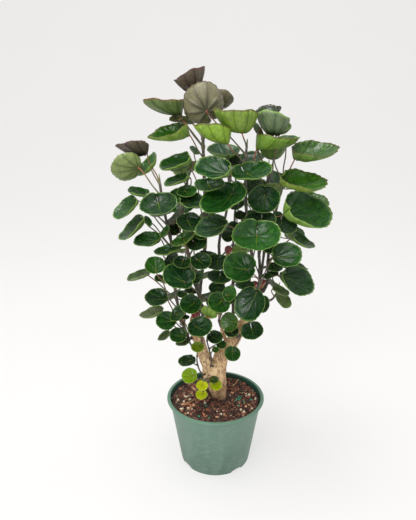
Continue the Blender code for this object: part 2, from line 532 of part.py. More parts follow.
def grow():
    """Lines of all stems, and every leaf with its stalk, each clear of the others."""
    crowd = Crowd()
    for name in LIMBS:
        line = limb_line(name)
        crowd.add(tube_shell(line[:, :3], line[:, 3], 0.0003), "limb", "limb")
    stems = {name: shoot_line(shoot, crowd) for name, shoot in SHOOTS.items()}
    for name, stem in stems.items():
        crowd.add(tube_shell(stem[1:, :3], stem[1:, 3], 0.0005), name, "stem")
    for name in SEALED:
        cap = seal_line(name)
        crowd.add(tube_shell(cap[:, :3], cap[:, 3], 0.0007), "limb", "seal")
    blades = []
    for leaf in LEAVES:
        best = None
        for slide in (0, 4, -4, 8, -8, 12, -12, 16, -16, 20, -20, 25, -25, 30, -30, 36, -36, 42, -42):
            blade = blade_from_view(leaf, leaf.depth + slide, stems[leaf.shoot])
            cost = crowd.hits(blade_shell(blade, 0.0006), "", ())
            if best is None or cost < best[0]:
                best = (cost, blade, slide)
            if cost == 0:
                break
        crowd.add(blade_shell(best[1], 0.0006), leaf.shoot, "blade")
        blades.append((best[1], len(crowd.trees) - 1))
    leaves = []
    for blade, index in blades:
        names = sorted(stems, key=lambda name: name != blade.shoot and stem_distance(stems[name], blade))
        best = None
        for name in names[:4]:
            own = blade._replace(shoot=name)
            skip = (index, len(LIMBS) + list(stems).index(name))
            cost, line = route(own, stems[name], crowd, skip)
            if best is None or cost < best[0]:
                best = (cost, own, line)
            if cost < 100:
                break
        crowd.owners[index] = best[1].shoot
        crowd.add(tube_shell(best[2][1:], stalk_radii(best[2])[1:], 0.0006), best[1].shoot, "stalk")
        leaves.append((best[1], best[2]))
    draw = random.Random(7)
    for name, (count, start) in HIDDEN.items():
        for k in range(count):
            for attempt in range(14):
                share = start + (0.97 - start) * (k + draw.uniform(-0.3, 0.3)) / count
                turn = GOLDEN_ANGLE * k + draw.uniform(-0.9, 0.9)
                blade = hidden_blade(stems[name], name, share, turn, draw)
                if crowd.hits(blade_shell(blade, 0.0006), "", ()):
                    continue
                if shade_share(blade, crowd) < 0.75:
                    continue
                skip = (len(LIMBS) + list(stems).index(name),)
                cost, line = route(blade, stems[name], crowd, skip)
                if cost:
                    continue
                crowd.add(blade_shell(blade, 0.0006), name, "blade")
                crowd.add(tube_shell(line[1:], stalk_radii(line)[1:], 0.0006), name, "stalk")
                leaves.append((blade, line))
                break
    return stems, leaves


def stem_distance(stem, blade):
    return float(np.min(np.linalg.norm(stem[:, :3] - blade.centre, axis=1)))


def clear_scene():
    for thing in list(bpy.data.objects):
        bpy.data.objects.remove(thing)


def new_collection(name):
    group = bpy.data.collections.new(name)
    bpy.context.scene.collection.children.link(group)
    return group


def material(name, colour, roughness):
    mat = bpy.data.materials.new(name)
    mat.use_nodes = True
    shader = mat.node_tree.nodes["Principled BSDF"]
    shader.inputs["Base Color"].default_value = (*colour, 1.0)
    shader.inputs["Roughness"].default_value = roughness
    shader.inputs["Metallic"].default_value = 0.0
    return mat


def mesh_object(name, bm, group):
    mesh = bpy.data.meshes.new(name)
    bm.to_mesh(mesh)
    bm.free()
    thing = bpy.data.objects.new(name, mesh)
    group.objects.link(thing)
    return thing


def tube(name, line, radii, sides, group):
    """A round tube along a line, by a bevelled curve that is then made a closed mesh."""
    curve = bpy.data.curves.new(name + "_line", "CURVE")
    curve.dimensions = "3D"
    curve.bevel_depth = 1.0
    curve.bevel_resolution = (sides - 4) // 2
    curve.use_fill_caps = True
    spline = curve.splines.new("POLY")
    spline.points.add(len(line) - 1)
    for point, centre, radius in zip(spline.points, line, radii):
        point.co = (*centre, 1.0)
        point.radius = radius
    wire = bpy.data.objects.new(name + "_line", curve)
    group.objects.link(wire)
    bpy.context.view_layer.update()
    graph = bpy.context.evaluated_depsgraph_get()
    mesh = bpy.data.meshes.new_from_object(wire.evaluated_get(graph))
    mesh.transform(wire.matrix_world)
    bpy.data.objects.remove(wire)
    bm = bmesh.new()
    bm.from_mesh(mesh)
    bmesh.ops.remove_doubles(bm, verts=bm.verts[:], dist=1e-6)
    bmesh.ops.recalc_face_normals(bm, faces=bm.faces[:])
    return mesh_object(name, bm, group)


def apply_modifiers(thing):
    bpy.context.view_layer.update()
    graph = bpy.context.evaluated_depsgraph_get()
    mesh = bpy.data.meshes.new_from_object(thing.evaluated_get(graph))
    thing.modifiers.clear()
    thing.data = mesh


def combine(thing, group, operation, solver="EXACT"):
    """The object joined with, or cut by, everything in a collection, which is then emptied."""
    join = thing.modifiers.new("combine", "BOOLEAN")
    join.operation = operation
    join.operand_type = "COLLECTION"
    join.collection = group
    join.solver = solver
    apply_modifiers(thing)
    for used in list(group.objects):
        bpy.data.objects.remove(used)


def turned(name, profile, steps, group):
    """A solid of revolution from a profile that runs down its outer side."""
    mesh = bpy.data.meshes.new(name)
    edges = [(k, k + 1) for k in range(len(profile) - 1)]
    mesh.from_pydata([(r, 0.0, z) for r, z in profile], edges, [])
    thing = bpy.data.objects.new(name, mesh)
    group.objects.link(thing)
    spin = thing.modifiers.new("turn", "SCREW")
    spin.angle = math.tau
    spin.steps = steps
    spin.render_steps = steps
    spin.use_merge_vertices = True
    spin.merge_threshold = 0.00001
    spin.use_normal_calculate = False
    apply_modifiers(thing)
    return thing


def smooth_faces(thing, angle=40):
    thing.data.shade_smooth()
    thing.data.set_sharp_from_angle(angle=math.radians(angle))


def drum(name, radius, low, high, place, sides, group, way=(0.0, 0.0, 1.0)):
    """A cylinder on a line through place, from low to high along way."""
    bm = bmesh.new()
    bmesh.ops.create_cone(
        bm, cap_ends=True, segments=sides, radius1=radius, radius2=radius, depth=high - low)
    bmesh.ops.translate(bm, vec=(0, 0, (low + high) / 2), verts=bm.verts[:])
    turn = Vector((0, 0, 1)).rotation_difference(Vector(way)).to_matrix()
    bmesh.ops.rotate(bm, matrix=turn, verts=bm.verts[:])
    bmesh.ops.translate(bm, vec=place, verts=bm.verts[:])
    return mesh_object(name, bm, group)


def slope_radius(z):
    """Outer radius of the pot's wall at height z."""
    return FOOT_RADIUS + (NECK_RADIUS - FOOT_RADIUS) * z / (POT_HEIGHT - LIP_HEIGHT)


def make_pot(plant, cutters):
    """A moulded nursery pot: lip, sloped wall with a faint step, raised plate on a foot ring and a centre pad."""
    under = POT_HEIGHT - LIP_HEIGHT
    step = POT_HEIGHT - 0.012
    inside = slope_radius(under) - WALL
    profile = [
        (0.0, PLATE_TOP), (FOOT_RADIUS - 0.0026, PLATE_TOP), (inside, under),
        (inside + 0.0004, POT_HEIGHT - 0.0004), (inside + 0.0012, POT_HEIGHT),
        (RIM_RADIUS - 0.0008, POT_HEIGHT), (RIM_RADIUS, POT_HEIGHT - 0.0008),
        (RIM_RADIUS, under + 0.0008), (RIM_RADIUS - 0.0008, under), (NECK_RADIUS, under - 0.0002),
        (slope_radius(step) + 0.0002, step + 0.0006), (slope_radius(step) - 0.0003, step),
        (FOOT_RADIUS, 0.0), (FOOT_RADIUS - 0.0026, 0.0), (FOOT_RADIUS - 0.0034, PLATE_UNDER),
        (0.0075, PLATE_UNDER), (0.0070, 0.0), (0.0, 0.0),
    ]
    pot = turned("pot", profile, 40, plant)
    for k in range(FOOT_NOTCHES):
        turn = math.tau * (k + 0.40) / FOOT_NOTCHES
        way = Vector((math.cos(turn), math.sin(turn), 0.0))
        notch = drum("notch", NOTCH_WIDTH / 2, 0.046, 0.062, (0, 0, 0), 8, cutters, way)
        for vertex in notch.data.vertices:
            vertex.co.z *= NOTCH_HEIGHT / (NOTCH_WIDTH / 2)
        hole_turn = turn + math.pi / FOOT_NOTCHES
        place = (0.036 * math.cos(hole_turn), 0.036 * math.sin(hole_turn), 0.0)
        drum("drain", 0.0045, 0.002, 0.008, place, 8, cutters)
    combine(pot, cutters, "DIFFERENCE")
    smooth_faces(pot, 35)
    pot.data.materials.clear()
    pot.data.materials.append(material("pot", (0.180, 0.300, 0.230), 0.42))
    return pot


def soil_height(x, y):
    """The bumpy surface of the mix, a little higher at the trunk."""
    bumps = 0.0011 * math.sin(130 * x + 1.3) * math.cos(117 * y - 0.6)
    bumps += 0.0008 * math.sin(287 * x + 211 * y) + 0.0005 * math.cos(391 * y - 260 * x + 2.0)
    centre = math.exp(-((x - 0.002) ** 2 + (y - 0.003) ** 2) / 0.0009)
    return SOIL_TOP + bumps + 0.0012 * centre


def make_soil(plant, cutters, foot):
    """The potting mix: it follows the pot's inner wall and has a plain hole for the trunk's foot."""
    wall_low = FOOT_RADIUS - 0.0026 - 0.0010
    inner_neck = slope_radius(POT_HEIGHT - LIP_HEIGHT) - WALL
    wall_top = inner_neck - (POT_HEIGHT - LIP_HEIGHT - SOIL_TOP) * 0.17 - 0.0010
    profile = [(0.0, SOIL_TOP)]
    for share in (0.28, 0.46, 0.64, 0.82, 1.0):
        profile.append((wall_top * share, SOIL_TOP))
    profile.append((wall_low, PLATE_TOP + 0.0004))
    profile.append((0.0, PLATE_TOP + 0.0004))
    soil = turned("potting_mix", profile, 30, plant)
    for vertex in soil.data.vertices:
        if vertex.co.z > SOIL_TOP - 0.001:
            vertex.co.z = soil_height(vertex.co.x, vertex.co.y)
    drum("trunk_hole", TRUNK_FOOT_RADIUS + 2.5 * GAP, TRUNK_FOOT_Z - 0.0006, 0.12, (foot[0], foot[1], 0), 20, cutters)
    combine(soil, cutters, "DIFFERENCE")
    smooth_faces(soil, 60)
    soil.data.materials.clear()
    soil.data.materials.append(material("potting_mix", (0.060, 0.038, 0.026), 0.95))
    return soil


def make_trunk(plant, parts):
    """The old wood: a stump that stands in the mix and forks into cut-back limbs."""
    foot = seen(219.5, 403, 3)
    first = limb_line("trunk")
    line = [(foot[0], foot[1], z) for z in (TRUNK_FOOT_Z, SOIL_TOP - 0.0045, SOIL_TOP + 0.0035)]
    radii = [TRUNK_FOOT_RADIUS, TRUNK_FOOT_RADIUS, TRUNK_FOOT_RADIUS + 0.0003]
    line += [tuple(row[:3]) for row in first]
    radii += [row[3] for row in first]
    trunk = tube("trunk", line, radii, 12, plant)
    for name in ("left", "right", "fork", "middle"):
        limb = limb_line(name)
        tube(name + "_limb", limb[:, :3], limb[:, 3], 6 if name == "middle" else 10, parts)
    combine(trunk, parts, "UNION")
    smooth_faces(trunk, 60)
    trunk.data.materials.clear()
    trunk.data.materials.append(material("bark", (0.42, 0.30, 0.21), 0.85))
    return trunk, foot


def make_seals(plant, cutters):
    """Red wax over each cut limb end: a shallow cap with a recess for the wood."""
    red = material("wax", (0.42, 0.035, 0.045), 0.4)
    for limb, name in SEALED.items():
        line = limb_line(limb)
        way = unit(line[-1, :3] - line[-2, :3])
        radius = line[-1, 3]
        end = line[-1, :3]
        top = SEAL_TOPS[limb]
        cap = drum(name, radius + 0.0013, -SEAL_SKIRTS[limb], top, end, 12, plant, way)
        drum("recess", radius + 0.0005, -0.0060, 0.0004, end, 12, cutters, way)
        combine(cap, cutters, "DIFFERENCE")
        round_over(cap, end + top * way, radius)
        smooth_faces(cap, 50)
        cap.data.materials.append(red)


def round_over(cap, top, radius):
    """A soft edge round the cap's top."""
    bm = bmesh.new()
    bm.from_mesh(cap.data)
    rim = []
    for edge in bm.edges:
        middle = (edge.verts[0].co + edge.verts[1].co) / 2
        if (middle - Vector(top)).length < radius + 0.0016 and len(edge.link_faces) == 2:
            if edge.calc_face_angle() > 1.0:
                rim.append(edge)
    bmesh.ops.bevel(bm, geom=rim, offset=0.0008, segments=1, profile=0.5, affect="EDGES", material=-1)
    bm.to_mesh(cap.data)
    bm.free()


def make_leaf(blade, line, group):
    """A blade thickened from a fan of triangles, its notch wall drawn out along the stalk."""
    angles = rim_angles(blade)
    bm = bmesh.new()
    bmesh.ops.create_circle(bm, cap_ends=True, cap_tris=True, segments=len(angles) + 2, radius=1.0)
    ring = sorted(
        (vertex for vertex in bm.verts if vertex.co.length > 0.5),
        key=lambda vertex: round(math.atan2(-vertex.co.x, vertex.co.y) % math.tau, 4) % 6.2831)
    middle = next(vertex for vertex in bm.verts if vertex.co.length < 0.5)
    middle.co = blade_point(blade, math.pi, inner_share(blade))
    notch = blade_point(blade, 0, 0)
    ring[0].co = notch + STALK_HALF * blade.side
    ring[-1].co = notch - STALK_HALF * blade.side
    for vertex, angle in zip(ring[1:-1], angles):
        vertex.co = blade_point(blade, angle, 1)
    bm.normal_update()
    upper = set(bm.verts)
    bmesh.ops.solidify(bm, geom=bm.faces[:], thickness=BLADE)
    wall = next(f for f in bm.faces if ring[0] in f.verts and ring[-1] in f.verts and len(f.verts) == 4)
    sides = []
    for vertex in wall.verts:
        left = (vertex.co - Vector(notch)).dot(Vector(blade.side)) > 0
        sides.append((1 if left else -1, 1 if vertex in upper else -1))
    across = blade.side
    radii = stalk_radii(line)
    for k in range(1, len(line)):
        wall = bmesh.ops.extrude_discrete_faces(bm, faces=[wall])["faces"][0]
        ahead = unit(line[min(k + 1, len(line) - 1)] - line[k - 1])
        across = unit(across - across.dot(ahead) * ahead)
        above = np.cross(ahead, across)
        for vertex, (left, top) in zip(wall.verts, sides):
            vertex.co = line[k] + radii[k] * (left * across + top * above)
    bmesh.ops.recalc_face_normals(bm, faces=bm.faces[:])
    return mesh_object("leaf", bm, group)


def seat(stem, bark):
    """The stem with its first point drawn back until only the gap parts it from the bark."""
    out = unit(stem[1, :3] - stem[0, :3])
    seated = stem.copy()
    for back in np.arange(0.0, 0.006, 0.0001):
        collar = np.array((stem[0, :3] - (back + GAP) * out, stem[1, :3]))
        points, faces = tube_shell(collar, stem[:2, 3], 0.0)
        if bark.overlap(BVHTree.FromPolygons(points.tolist(), faces)):
            break
        seated[0, :3] = stem[0, :3] - back * out
    return seated


def make_shoots(plant, parts, trunk):
    """Each leafy shoot: its stem, with the leaves' stalks sunk into it, in one node."""
    stems, leaves = grow()
    corners = [vertex.co for vertex in trunk.data.vertices]
    bark = BVHTree.FromPolygons(corners, [face.vertices[:] for face in trunk.data.polygons])
    green = material("leaf", (0.085, 0.185, 0.075), 0.45)
    for name, stem in stems.items():
        stem = seat(stem, bark)
        rings = [0] + list(range(1, len(stem), 2))
        shoot = tube("shoot_" + name, stem[rings, :3], stem[rings, 3], 6, plant)
        for blade, line in leaves:
            if blade.shoot == name:
                make_leaf(blade, line, parts)
        if parts.objects:
            combine(shoot, parts, "UNION", "MANIFOLD" if name in CROWDED else "EXACT")
        shoot.data.materials.clear()
        shoot.data.materials.append(green)


def main():
    clear_scene()
    plant = new_collection("potted_aralia")
    cutters = new_collection("cutters")
    cutters.hide_render = True
    parts = new_collection("parts")
    make_pot(plant, cutters)
    trunk, foot = make_trunk(plant, parts)
    make_soil(plant, cutters, foot)
    make_seals(plant, cutters)
    make_shoots(plant, parts, trunk)


main()
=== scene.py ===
"""The potted aralia dressed to look real: pot, mix, bark, wax and every leaf with its veins."""

import json
import math
import random
from collections import namedtuple

import bmesh
import bpy
import numpy as np
from mathutils import Matrix, Vector, noise
from mathutils.bvhtree import BVHTree
from mathutils.kdtree import KDTree

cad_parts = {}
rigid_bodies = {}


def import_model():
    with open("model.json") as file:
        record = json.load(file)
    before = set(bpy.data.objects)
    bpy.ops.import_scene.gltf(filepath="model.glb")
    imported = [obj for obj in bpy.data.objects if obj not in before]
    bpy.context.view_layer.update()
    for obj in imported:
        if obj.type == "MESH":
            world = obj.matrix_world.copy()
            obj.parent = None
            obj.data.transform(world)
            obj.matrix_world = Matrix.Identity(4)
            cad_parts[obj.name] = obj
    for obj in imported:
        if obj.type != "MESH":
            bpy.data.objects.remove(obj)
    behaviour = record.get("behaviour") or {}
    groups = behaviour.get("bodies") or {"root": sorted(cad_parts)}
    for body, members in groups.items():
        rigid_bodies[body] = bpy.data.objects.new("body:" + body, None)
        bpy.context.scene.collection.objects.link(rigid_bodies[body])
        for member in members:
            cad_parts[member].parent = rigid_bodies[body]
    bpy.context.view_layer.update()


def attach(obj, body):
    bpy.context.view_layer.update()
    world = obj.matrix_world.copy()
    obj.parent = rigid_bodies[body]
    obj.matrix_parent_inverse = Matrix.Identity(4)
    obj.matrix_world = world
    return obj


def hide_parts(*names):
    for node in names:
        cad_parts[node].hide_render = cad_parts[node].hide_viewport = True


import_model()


# The view: a camera a little above the crown looks slightly down on the plant,
# as in the photo. It is worked out from the edges of the pot's lip and foot.
EYE = np.array((-0.0118, -0.66, 0.5205))
TILT = math.radians(16.27)
FOCAL = 474.4
MIDDLE_X = 208.0
MIDDLE_Y = 260.0
LOOK = np.array((0.0, math.cos(TILT), -math.sin(TILT)))
LOOK_UP = np.array((0.0, math.sin(TILT), math.cos(TILT)))


def seen(x, y, depth):
    """The point in the room that the photo shows at x, y, when it lies depth mm behind the pot's axis."""
    across = (x - MIDDLE_X) / FOCAL
    up = (MIDDLE_Y - y) / FOCAL
    ray = LOOK + across * np.array((1.0, 0.0, 0.0)) + up * LOOK_UP
    return EYE + (depth / 1000 - EYE[1]) / ray[1] * ray


camera = bpy.data.cameras.new("view")
camera.sensor_width = 36.0
camera.lens = 36.0 * FOCAL / 520
camera.clip_start = 0.02
viewer = bpy.data.objects.new("view", camera)
viewer.location = EYE
viewer.rotation_euler = (math.radians(90) - TILT, 0.0, 0.0)
bpy.context.scene.collection.objects.link(viewer)
bpy.context.scene.camera = viewer
bpy.context.scene.view_settings.view_transform = "Standard"


# The room: a pale sweep of card that curves up behind the plant, one large soft lamp above in front,
# a weaker one in front from the left, a faint one from the right, and a pale even sky that fills the shadows.
class Value:
    """A socket of a material; a sum or product of such values adds Math nodes."""

    def __init__(self, finish, socket):
        self.finish = finish
        self.socket = socket

    def math(self, kind, *others, turned=False):
        step = self.finish.tree.nodes.new("ShaderNodeMath")
        step.operation = kind
        terms = (self, *others)
        for slot, term in enumerate(reversed(terms) if turned else terms):
            self.finish.plug(term, step.inputs[slot])
        return Value(self.finish, step.outputs[0])

    def __add__(self, other):
        return self.math("ADD", other)

    def __sub__(self, other):
        return self.math("SUBTRACT", other)

    def __rsub__(self, other):
        return self.math("SUBTRACT", other, turned=True)

    def __mul__(self, other):
        return self.math("MULTIPLY", other)

    def __abs__(self):
        return self.math("ABSOLUTE")

    __radd__ = __add__
    __rmul__ = __mul__

    def between(self, low, high):
        """0 at low, 1 at high, eased."""
        step = self.finish.add("ShaderNodeMapRange", {"interpolation_type": "SMOOTHSTEP"},
                               {"Value": self, "From Min": low, "From Max": high})
        return step["Result"]


class Finish:
    """A material built one node at a time."""

    def __init__(self, name, roughness=0.5, **fixed):
        self.material = bpy.data.materials.new(name)
        self.material.use_nodes = True
        self.tree = self.material.node_tree
        self.shader = self.tree.nodes["Principled BSDF"]
        self.shader.inputs["Roughness"].default_value = roughness
        for key, value in fixed.items():
            self.shader.inputs[key.replace("_", " ")].default_value = value

    def plug(self, term, socket):
        if isinstance(term, Value):
            self.tree.links.new(term.socket, socket)
        elif isinstance(term, (tuple, list)) and socket.type == "RGBA":
            socket.default_value = (*term, 1.0)
        else:
            socket.default_value = term

    def add(self, kind, settings=None, values=None):
        step = self.tree.nodes.new(kind)
        for key, value in (settings or {}).items():
            setattr(step, key, value)
        for key, value in (values or {}).items():
            self.plug(value, step.inputs[key])
        return {socket.name: Value(self, socket) for socket in step.outputs}

    def place(self):
        return self.add("ShaderNodeTexCoord")["Object"]

    def noise(self, scale, detail=3.0, vector=None):
        values = {"Scale": scale, "Detail": detail, "Vector": vector or self.place()}
        return self.add("ShaderNodeTexNoise", None, values)["Fac"]

    def mix(self, factor, first, second):
        step = self.tree.nodes.new("ShaderNodeMix")
        step.data_type = "RGBA"
        self.plug(factor, step.inputs[0])
        self.plug(first, step.inputs[6])
        self.plug(second, step.inputs[7])
        return Value(self, step.outputs[2])

    def drive(self, **sockets):
        for key, value in sockets.items():
            self.plug(value, self.shader.inputs[key.replace("_", " ")])

    def bump(self, height, distance, strength=1.0):
        values = {"Height": height, "Distance": distance, "Strength": strength}
        self.drive(Normal=self.add("ShaderNodeBump", None, values)["Normal"])


def colour(red, green, blue):
    """A screen colour, 0 to 255, as the light it stands for."""
    return tuple(c / 255 / 12.92 if c < 11 else ((c / 255 + 0.055) / 1.055) ** 2.4
                 for c in (red, green, blue))


def shown(name, bm, materials):
    """A new piece from a bmesh, smooth, with its materials."""
    mesh = bpy.data.meshes.new(name)
    bm.to_mesh(mesh)
    bm.free()
    thing = bpy.data.objects.new(name, mesh)
    bpy.context.scene.collection.objects.link(thing)
    for finish in materials:
        mesh.materials.append(finish)
    mesh.shade_smooth()
    return thing


SWEEP_HALF_WIDTH = 6
SWEEP_FRONT = -3.0
SWEEP_FLAT = 4.2
SWEEP_BEND = 1.9
card = Finish("card", 0.9, Emission_Color=(1.0, 0.99, 0.98, 1.0), Emission_Strength=0.62)
card.drive(Base_Color=card.mix(card.noise(3.0), colour(141, 140, 139), colour(146, 145, 144)))
bm = bmesh.new()
bmesh.ops.create_grid(bm, x_segments=2, y_segments=60, size=1.0)
for vertex in bm.verts:
    run = (vertex.co.y + 1) * SWEEP_FLAT
    bend = min(max((run - SWEEP_FLAT) / SWEEP_BEND, 0.0), math.pi / 2)
    rise = max(run - SWEEP_FLAT - SWEEP_BEND * math.pi / 2, 0.0)
    back = SWEEP_FRONT + min(run, SWEEP_FLAT) + SWEEP_BEND * math.sin(bend)
    vertex.co = (vertex.co.x * SWEEP_HALF_WIDTH, back, SWEEP_BEND * (1 - math.cos(bend)) + rise)
sweep = shown("sweep", bm, [card.material])

sky = bpy.data.worlds.new("sky")
sky.use_nodes = True
glow = sky.node_tree.nodes["Background"].inputs
glow["Color"].default_value = (1.0, 0.99, 0.975, 1.0)
glow["Strength"].default_value = 0.54
bpy.context.scene.world = sky
for name, power, size, place in (
        ("overhead", 27.0, 1.1, (-0.35, -0.15, 2.1)),
        ("front", 19.0, 0.9, (-0.7, -1.7, 1.6)),
        ("right", 3.0, 1.0, (1.8, 0.3, 1.3))):
    lamp = bpy.data.lights.new(name, "AREA")
    lamp.energy = power
    lamp.size = size
    holder = bpy.data.objects.new(name, lamp)
    holder.location = place
    holder.rotation_euler = (Vector((0, 0, 0.3)) - Vector(place)).to_track_quat("-Z", "Y").to_euler()
    bpy.context.scene.collection.objects.link(holder)


# The pot: one thin injection-moulded piece of grey-green plastic with a rolled lip,
# a faint step below it, and a raised base plate with drain holes and arched notches.
POT_HEIGHT = 0.106
RIM_RADIUS = 0.076
NECK_RADIUS = 0.0718
FOOT_RADIUS = 0.0545
WALL = 0.0016
UNDER_LIP = 0.103
NOTCHES = 4
NOTCH_WIDTH = 0.020
NOTCH_HEIGHT = 0.004
DRAIN_WIDTH = 0.009


def slope_radius(z):
    """The outer radius of the pot's wall at this height."""
    return FOOT_RADIUS + (NECK_RADIUS - FOOT_RADIUS) * z / UNDER_LIP


def turned(bm, profile, steps):
    """A profile in the XZ plane spun round Z, with its poles and seam closed."""
    ring = [bm.verts.new((r, 0.0, z)) for r, z in profile]
    edges = [bm.edges.new(pair) for pair in zip(ring, ring[1:])]
    bmesh.ops.spin(bm, geom=ring + edges, cent=(0, 0, 0), axis=(0, 0, 1), angle=math.tau,
                   steps=steps, use_merge=True)
    bmesh.ops.remove_doubles(bm, verts=bm.verts[:], dist=1e-6)
    bmesh.ops.recalc_face_normals(bm, faces=bm.faces[:])


step = POT_HEIGHT - 0.012
inside = slope_radius(UNDER_LIP) - WALL
bm = bmesh.new()
turned(bm, [
    (0.0, 0.0056), (FOOT_RADIUS - 0.0026, 0.0056), (inside - 0.0006, 0.098), (inside, UNDER_LIP),
    (inside + 0.0006, POT_HEIGHT - 0.0003), (inside + 0.0014, POT_HEIGHT), (RIM_RADIUS - 0.0012, POT_HEIGHT),
    (RIM_RADIUS - 0.0004, POT_HEIGHT - 0.0004), (RIM_RADIUS, POT_HEIGHT - 0.0012),
    (RIM_RADIUS, UNDER_LIP + 0.0009), (RIM_RADIUS - 0.0009, UNDER_LIP), (NECK_RADIUS, UNDER_LIP - 0.0002),
    (slope_radius(step) + 0.0002, step + 0.0006), (slope_radius(step) - 0.0003, step),
    (slope_radius(0.03), 0.03), (FOOT_RADIUS, 0.0), (FOOT_RADIUS - 0.0026, 0.0),
    (FOOT_RADIUS - 0.0034, 0.004), (0.0075, 0.004), (0.007, 0.0), (0.0, 0.0),
], 128)
pot_plastic = Finish("pot_plastic", 0.42, Coat_Weight=0.0)
place = pot_plastic.place()
parts = pot_plastic.add("ShaderNodeSeparateXYZ", None, {"Vector": place})
span = pot_plastic.add("ShaderNodeVectorMath", {"operation": "LENGTH"}, {
    0: pot_plastic.add("ShaderNodeCombineXYZ", None, {"X": parts["X"], "Y": parts["Y"]})["Vector"]})["Value"]
height = parts["Z"]
wall_middle = height * ((NECK_RADIUS - FOOT_RADIUS) / UNDER_LIP) + (FOOT_RADIUS - WALL / 2)
outside = (span - wall_middle).between(-0.0006, 0.0002)
streaks = pot_plastic.noise(60.0, 4.0, pot_plastic.add(
    "ShaderNodeMapping", None, {"Vector": place, "Scale": (1.0, 1.0, 0.12)})["Vector"])
dust = pot_plastic.noise(420.0, 5.0)
scuffs = pot_plastic.noise(260.0, 5.0, pot_plastic.add(
    "ShaderNodeMapping", None, {"Vector": place, "Scale": (0.35, 0.35, 1.0)})["Vector"])
# Painted shade: the outer wall goes darker toward the foot and lighter toward the top.
face = pot_plastic.mix(height.between(0.0, 0.1), colour(82, 112, 96), colour(104, 138, 120))
face = pot_plastic.mix(streaks.between(0.35, 0.75) * 0.45, face, colour(118, 146, 130))
face = pot_plastic.mix(scuffs.between(0.50, 0.72) * 0.35, face, colour(136, 160, 144))
face = pot_plastic.mix(dust.between(0.52, 0.36) * 0.30, face, colour(70, 100, 84))
# Painted shade inside the pot: the inner wall is far darker than the outside, darkest low down.
inside_painted_shade = pot_plastic.mix(height.between(0.09, 0.104), colour(26, 56, 44), colour(44, 84, 68))
lip = height.between(UNDER_LIP - 0.0004, UNDER_LIP + 0.0004)
face = pot_plastic.mix(lip * 0.5, face, colour(104, 140, 120))
crown = height.between(POT_HEIGHT - 0.0012, POT_HEIGHT - 0.0003)
face = pot_plastic.mix(crown * 0.8, face, colour(102, 142, 118))
tone = pot_plastic.mix(outside, inside_painted_shade, face)
tone = pot_plastic.mix(dust.between(0.62, 0.78) * 0.25, tone, colour(170, 184, 172))
pot_plastic.drive(Base_Color=tone, Roughness=dust * 0.2 + (scuffs * 0.2 + 0.3))
pot_plastic.bump(dust * 0.4 + streaks + scuffs * 0.5, 0.00018)
pot = shown("nursery_pot", bm, [pot_plastic.material])

cutters = bpy.data.collections.new("cutters")
bpy.context.scene.collection.children.link(cutters)
for k in range(NOTCHES):
    turn = math.tau * (k + 0.40) / NOTCHES
    for reach, angle, wide, deep, flat in ((0.054, turn, NOTCH_WIDTH, 0.016, True),
                                           (0.036, turn + math.pi / 4, DRAIN_WIDTH, 0.006, False)):
        bm = bmesh.new()
        bmesh.ops.create_cone(bm, cap_ends=True, segments=32, radius1=wide / 2, radius2=wide / 2, depth=deep)
        if flat:
            bmesh.ops.scale(bm, vec=(2 * NOTCH_HEIGHT / wide, 1.0, 1.0), verts=bm.verts[:])
            bmesh.ops.rotate(bm, matrix=Matrix.Rotation(math.radians(90), 3, "Y"), verts=bm.verts[:])
        bmesh.ops.translate(bm, vec=(reach, 0.0, 0.0 if flat else 0.005), verts=bm.verts[:])
        bmesh.ops.rotate(bm, matrix=Matrix.Rotation(angle, 3, "Z"), verts=bm.verts[:])
        hole = shown("hole", bm, [])
        bpy.context.scene.collection.objects.unlink(hole)
        cutters.objects.link(hole)


def settled(thing):
    """The object with its modifiers made part of its mesh."""
    bpy.context.view_layer.update()
    made = bpy.data.meshes.new_from_object(thing.evaluated_get(bpy.context.evaluated_depsgraph_get()))
    thing.modifiers.clear()
    thing.data = made


cut = pot.modifiers.new("holes", "BOOLEAN")
cut.operation = "DIFFERENCE"
cut.operand_type = "COLLECTION"
cut.collection = cutters
cut.solver = "EXACT"
settled(pot)
for hole in list(cutters.objects):
    bpy.data.objects.remove(hole)
bpy.data.collections.remove(cutters)
pot.data.shade_smooth()
pot.data.set_sharp_from_angle(angle=math.radians(50))
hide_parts("pot")
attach(pot, "root")


# The potting mix: dark red-brown bark chips and peat, with white perlite crumbs,
# blue-green feed prills and a few dry twigs, filled to just under the lip.
SOIL_TOP = 0.1005
SOIL_RADIUS = 0.0683
SOIL_BOTTOM = 0.0061
SOIL_BOTTOM_RADIUS = 0.0507
TRUNK_CLEARANCE = 0.013


def mix_height(x, y):
    """How high the uneven top of the mix stands at x, y."""
    bumps = 0.0011 * math.sin(130 * x + 1.3) * math.cos(117 * y - 0.6)
    bumps += 0.0008 * math.sin(287 * x + 211 * y) + 0.0005 * math.cos(391 * y - 260 * x + 2.0)
    centre = math.exp(-((x - 0.002) ** 2 + (y - 0.003) ** 2) / 0.0009)
    return SOIL_TOP + bumps + 0.0012 * centre


bm = bmesh.new()
bmesh.ops.create_grid(bm, x_segments=150, y_segments=44, size=0.5)
for vertex in bm.verts:
    turn = (vertex.co.x + 0.5) * math.tau
    span = (vertex.co.y + 0.5) * SOIL_RADIUS
    x, y = span * math.cos(turn), span * math.sin(turn)
    rough = noise.fractal(Vector((x, y, 0.0)) * 260, 0.9, 2.2, 3)
    vertex.co = (x, y, mix_height(x, y) + 0.0011 * rough - 0.0006)
bmesh.ops.remove_doubles(bm, verts=bm.verts[:], dist=1e-6)
rim = [edge for edge in bm.edges if edge.is_boundary]
sides = bmesh.ops.extrude_edge_only(bm, edges=rim)["geom"]
low = [v for v in sides if isinstance(v, bmesh.types.BMVert)]
for vertex in low:
    flat = Vector((vertex.co.x, vertex.co.y)).normalized() * SOIL_BOTTOM_RADIUS
    vertex.co = (flat.x, flat.y, SOIL_BOTTOM)
rim = [edge for edge in sides if isinstance(edge, bmesh.types.BMEdge) and edge.is_boundary]
bmesh.ops.contextual_create(bm, geom=rim)
bmesh.ops.recalc_face_normals(bm, faces=bm.faces[:])
tint = bm.verts.layers.float_color.new("tint")
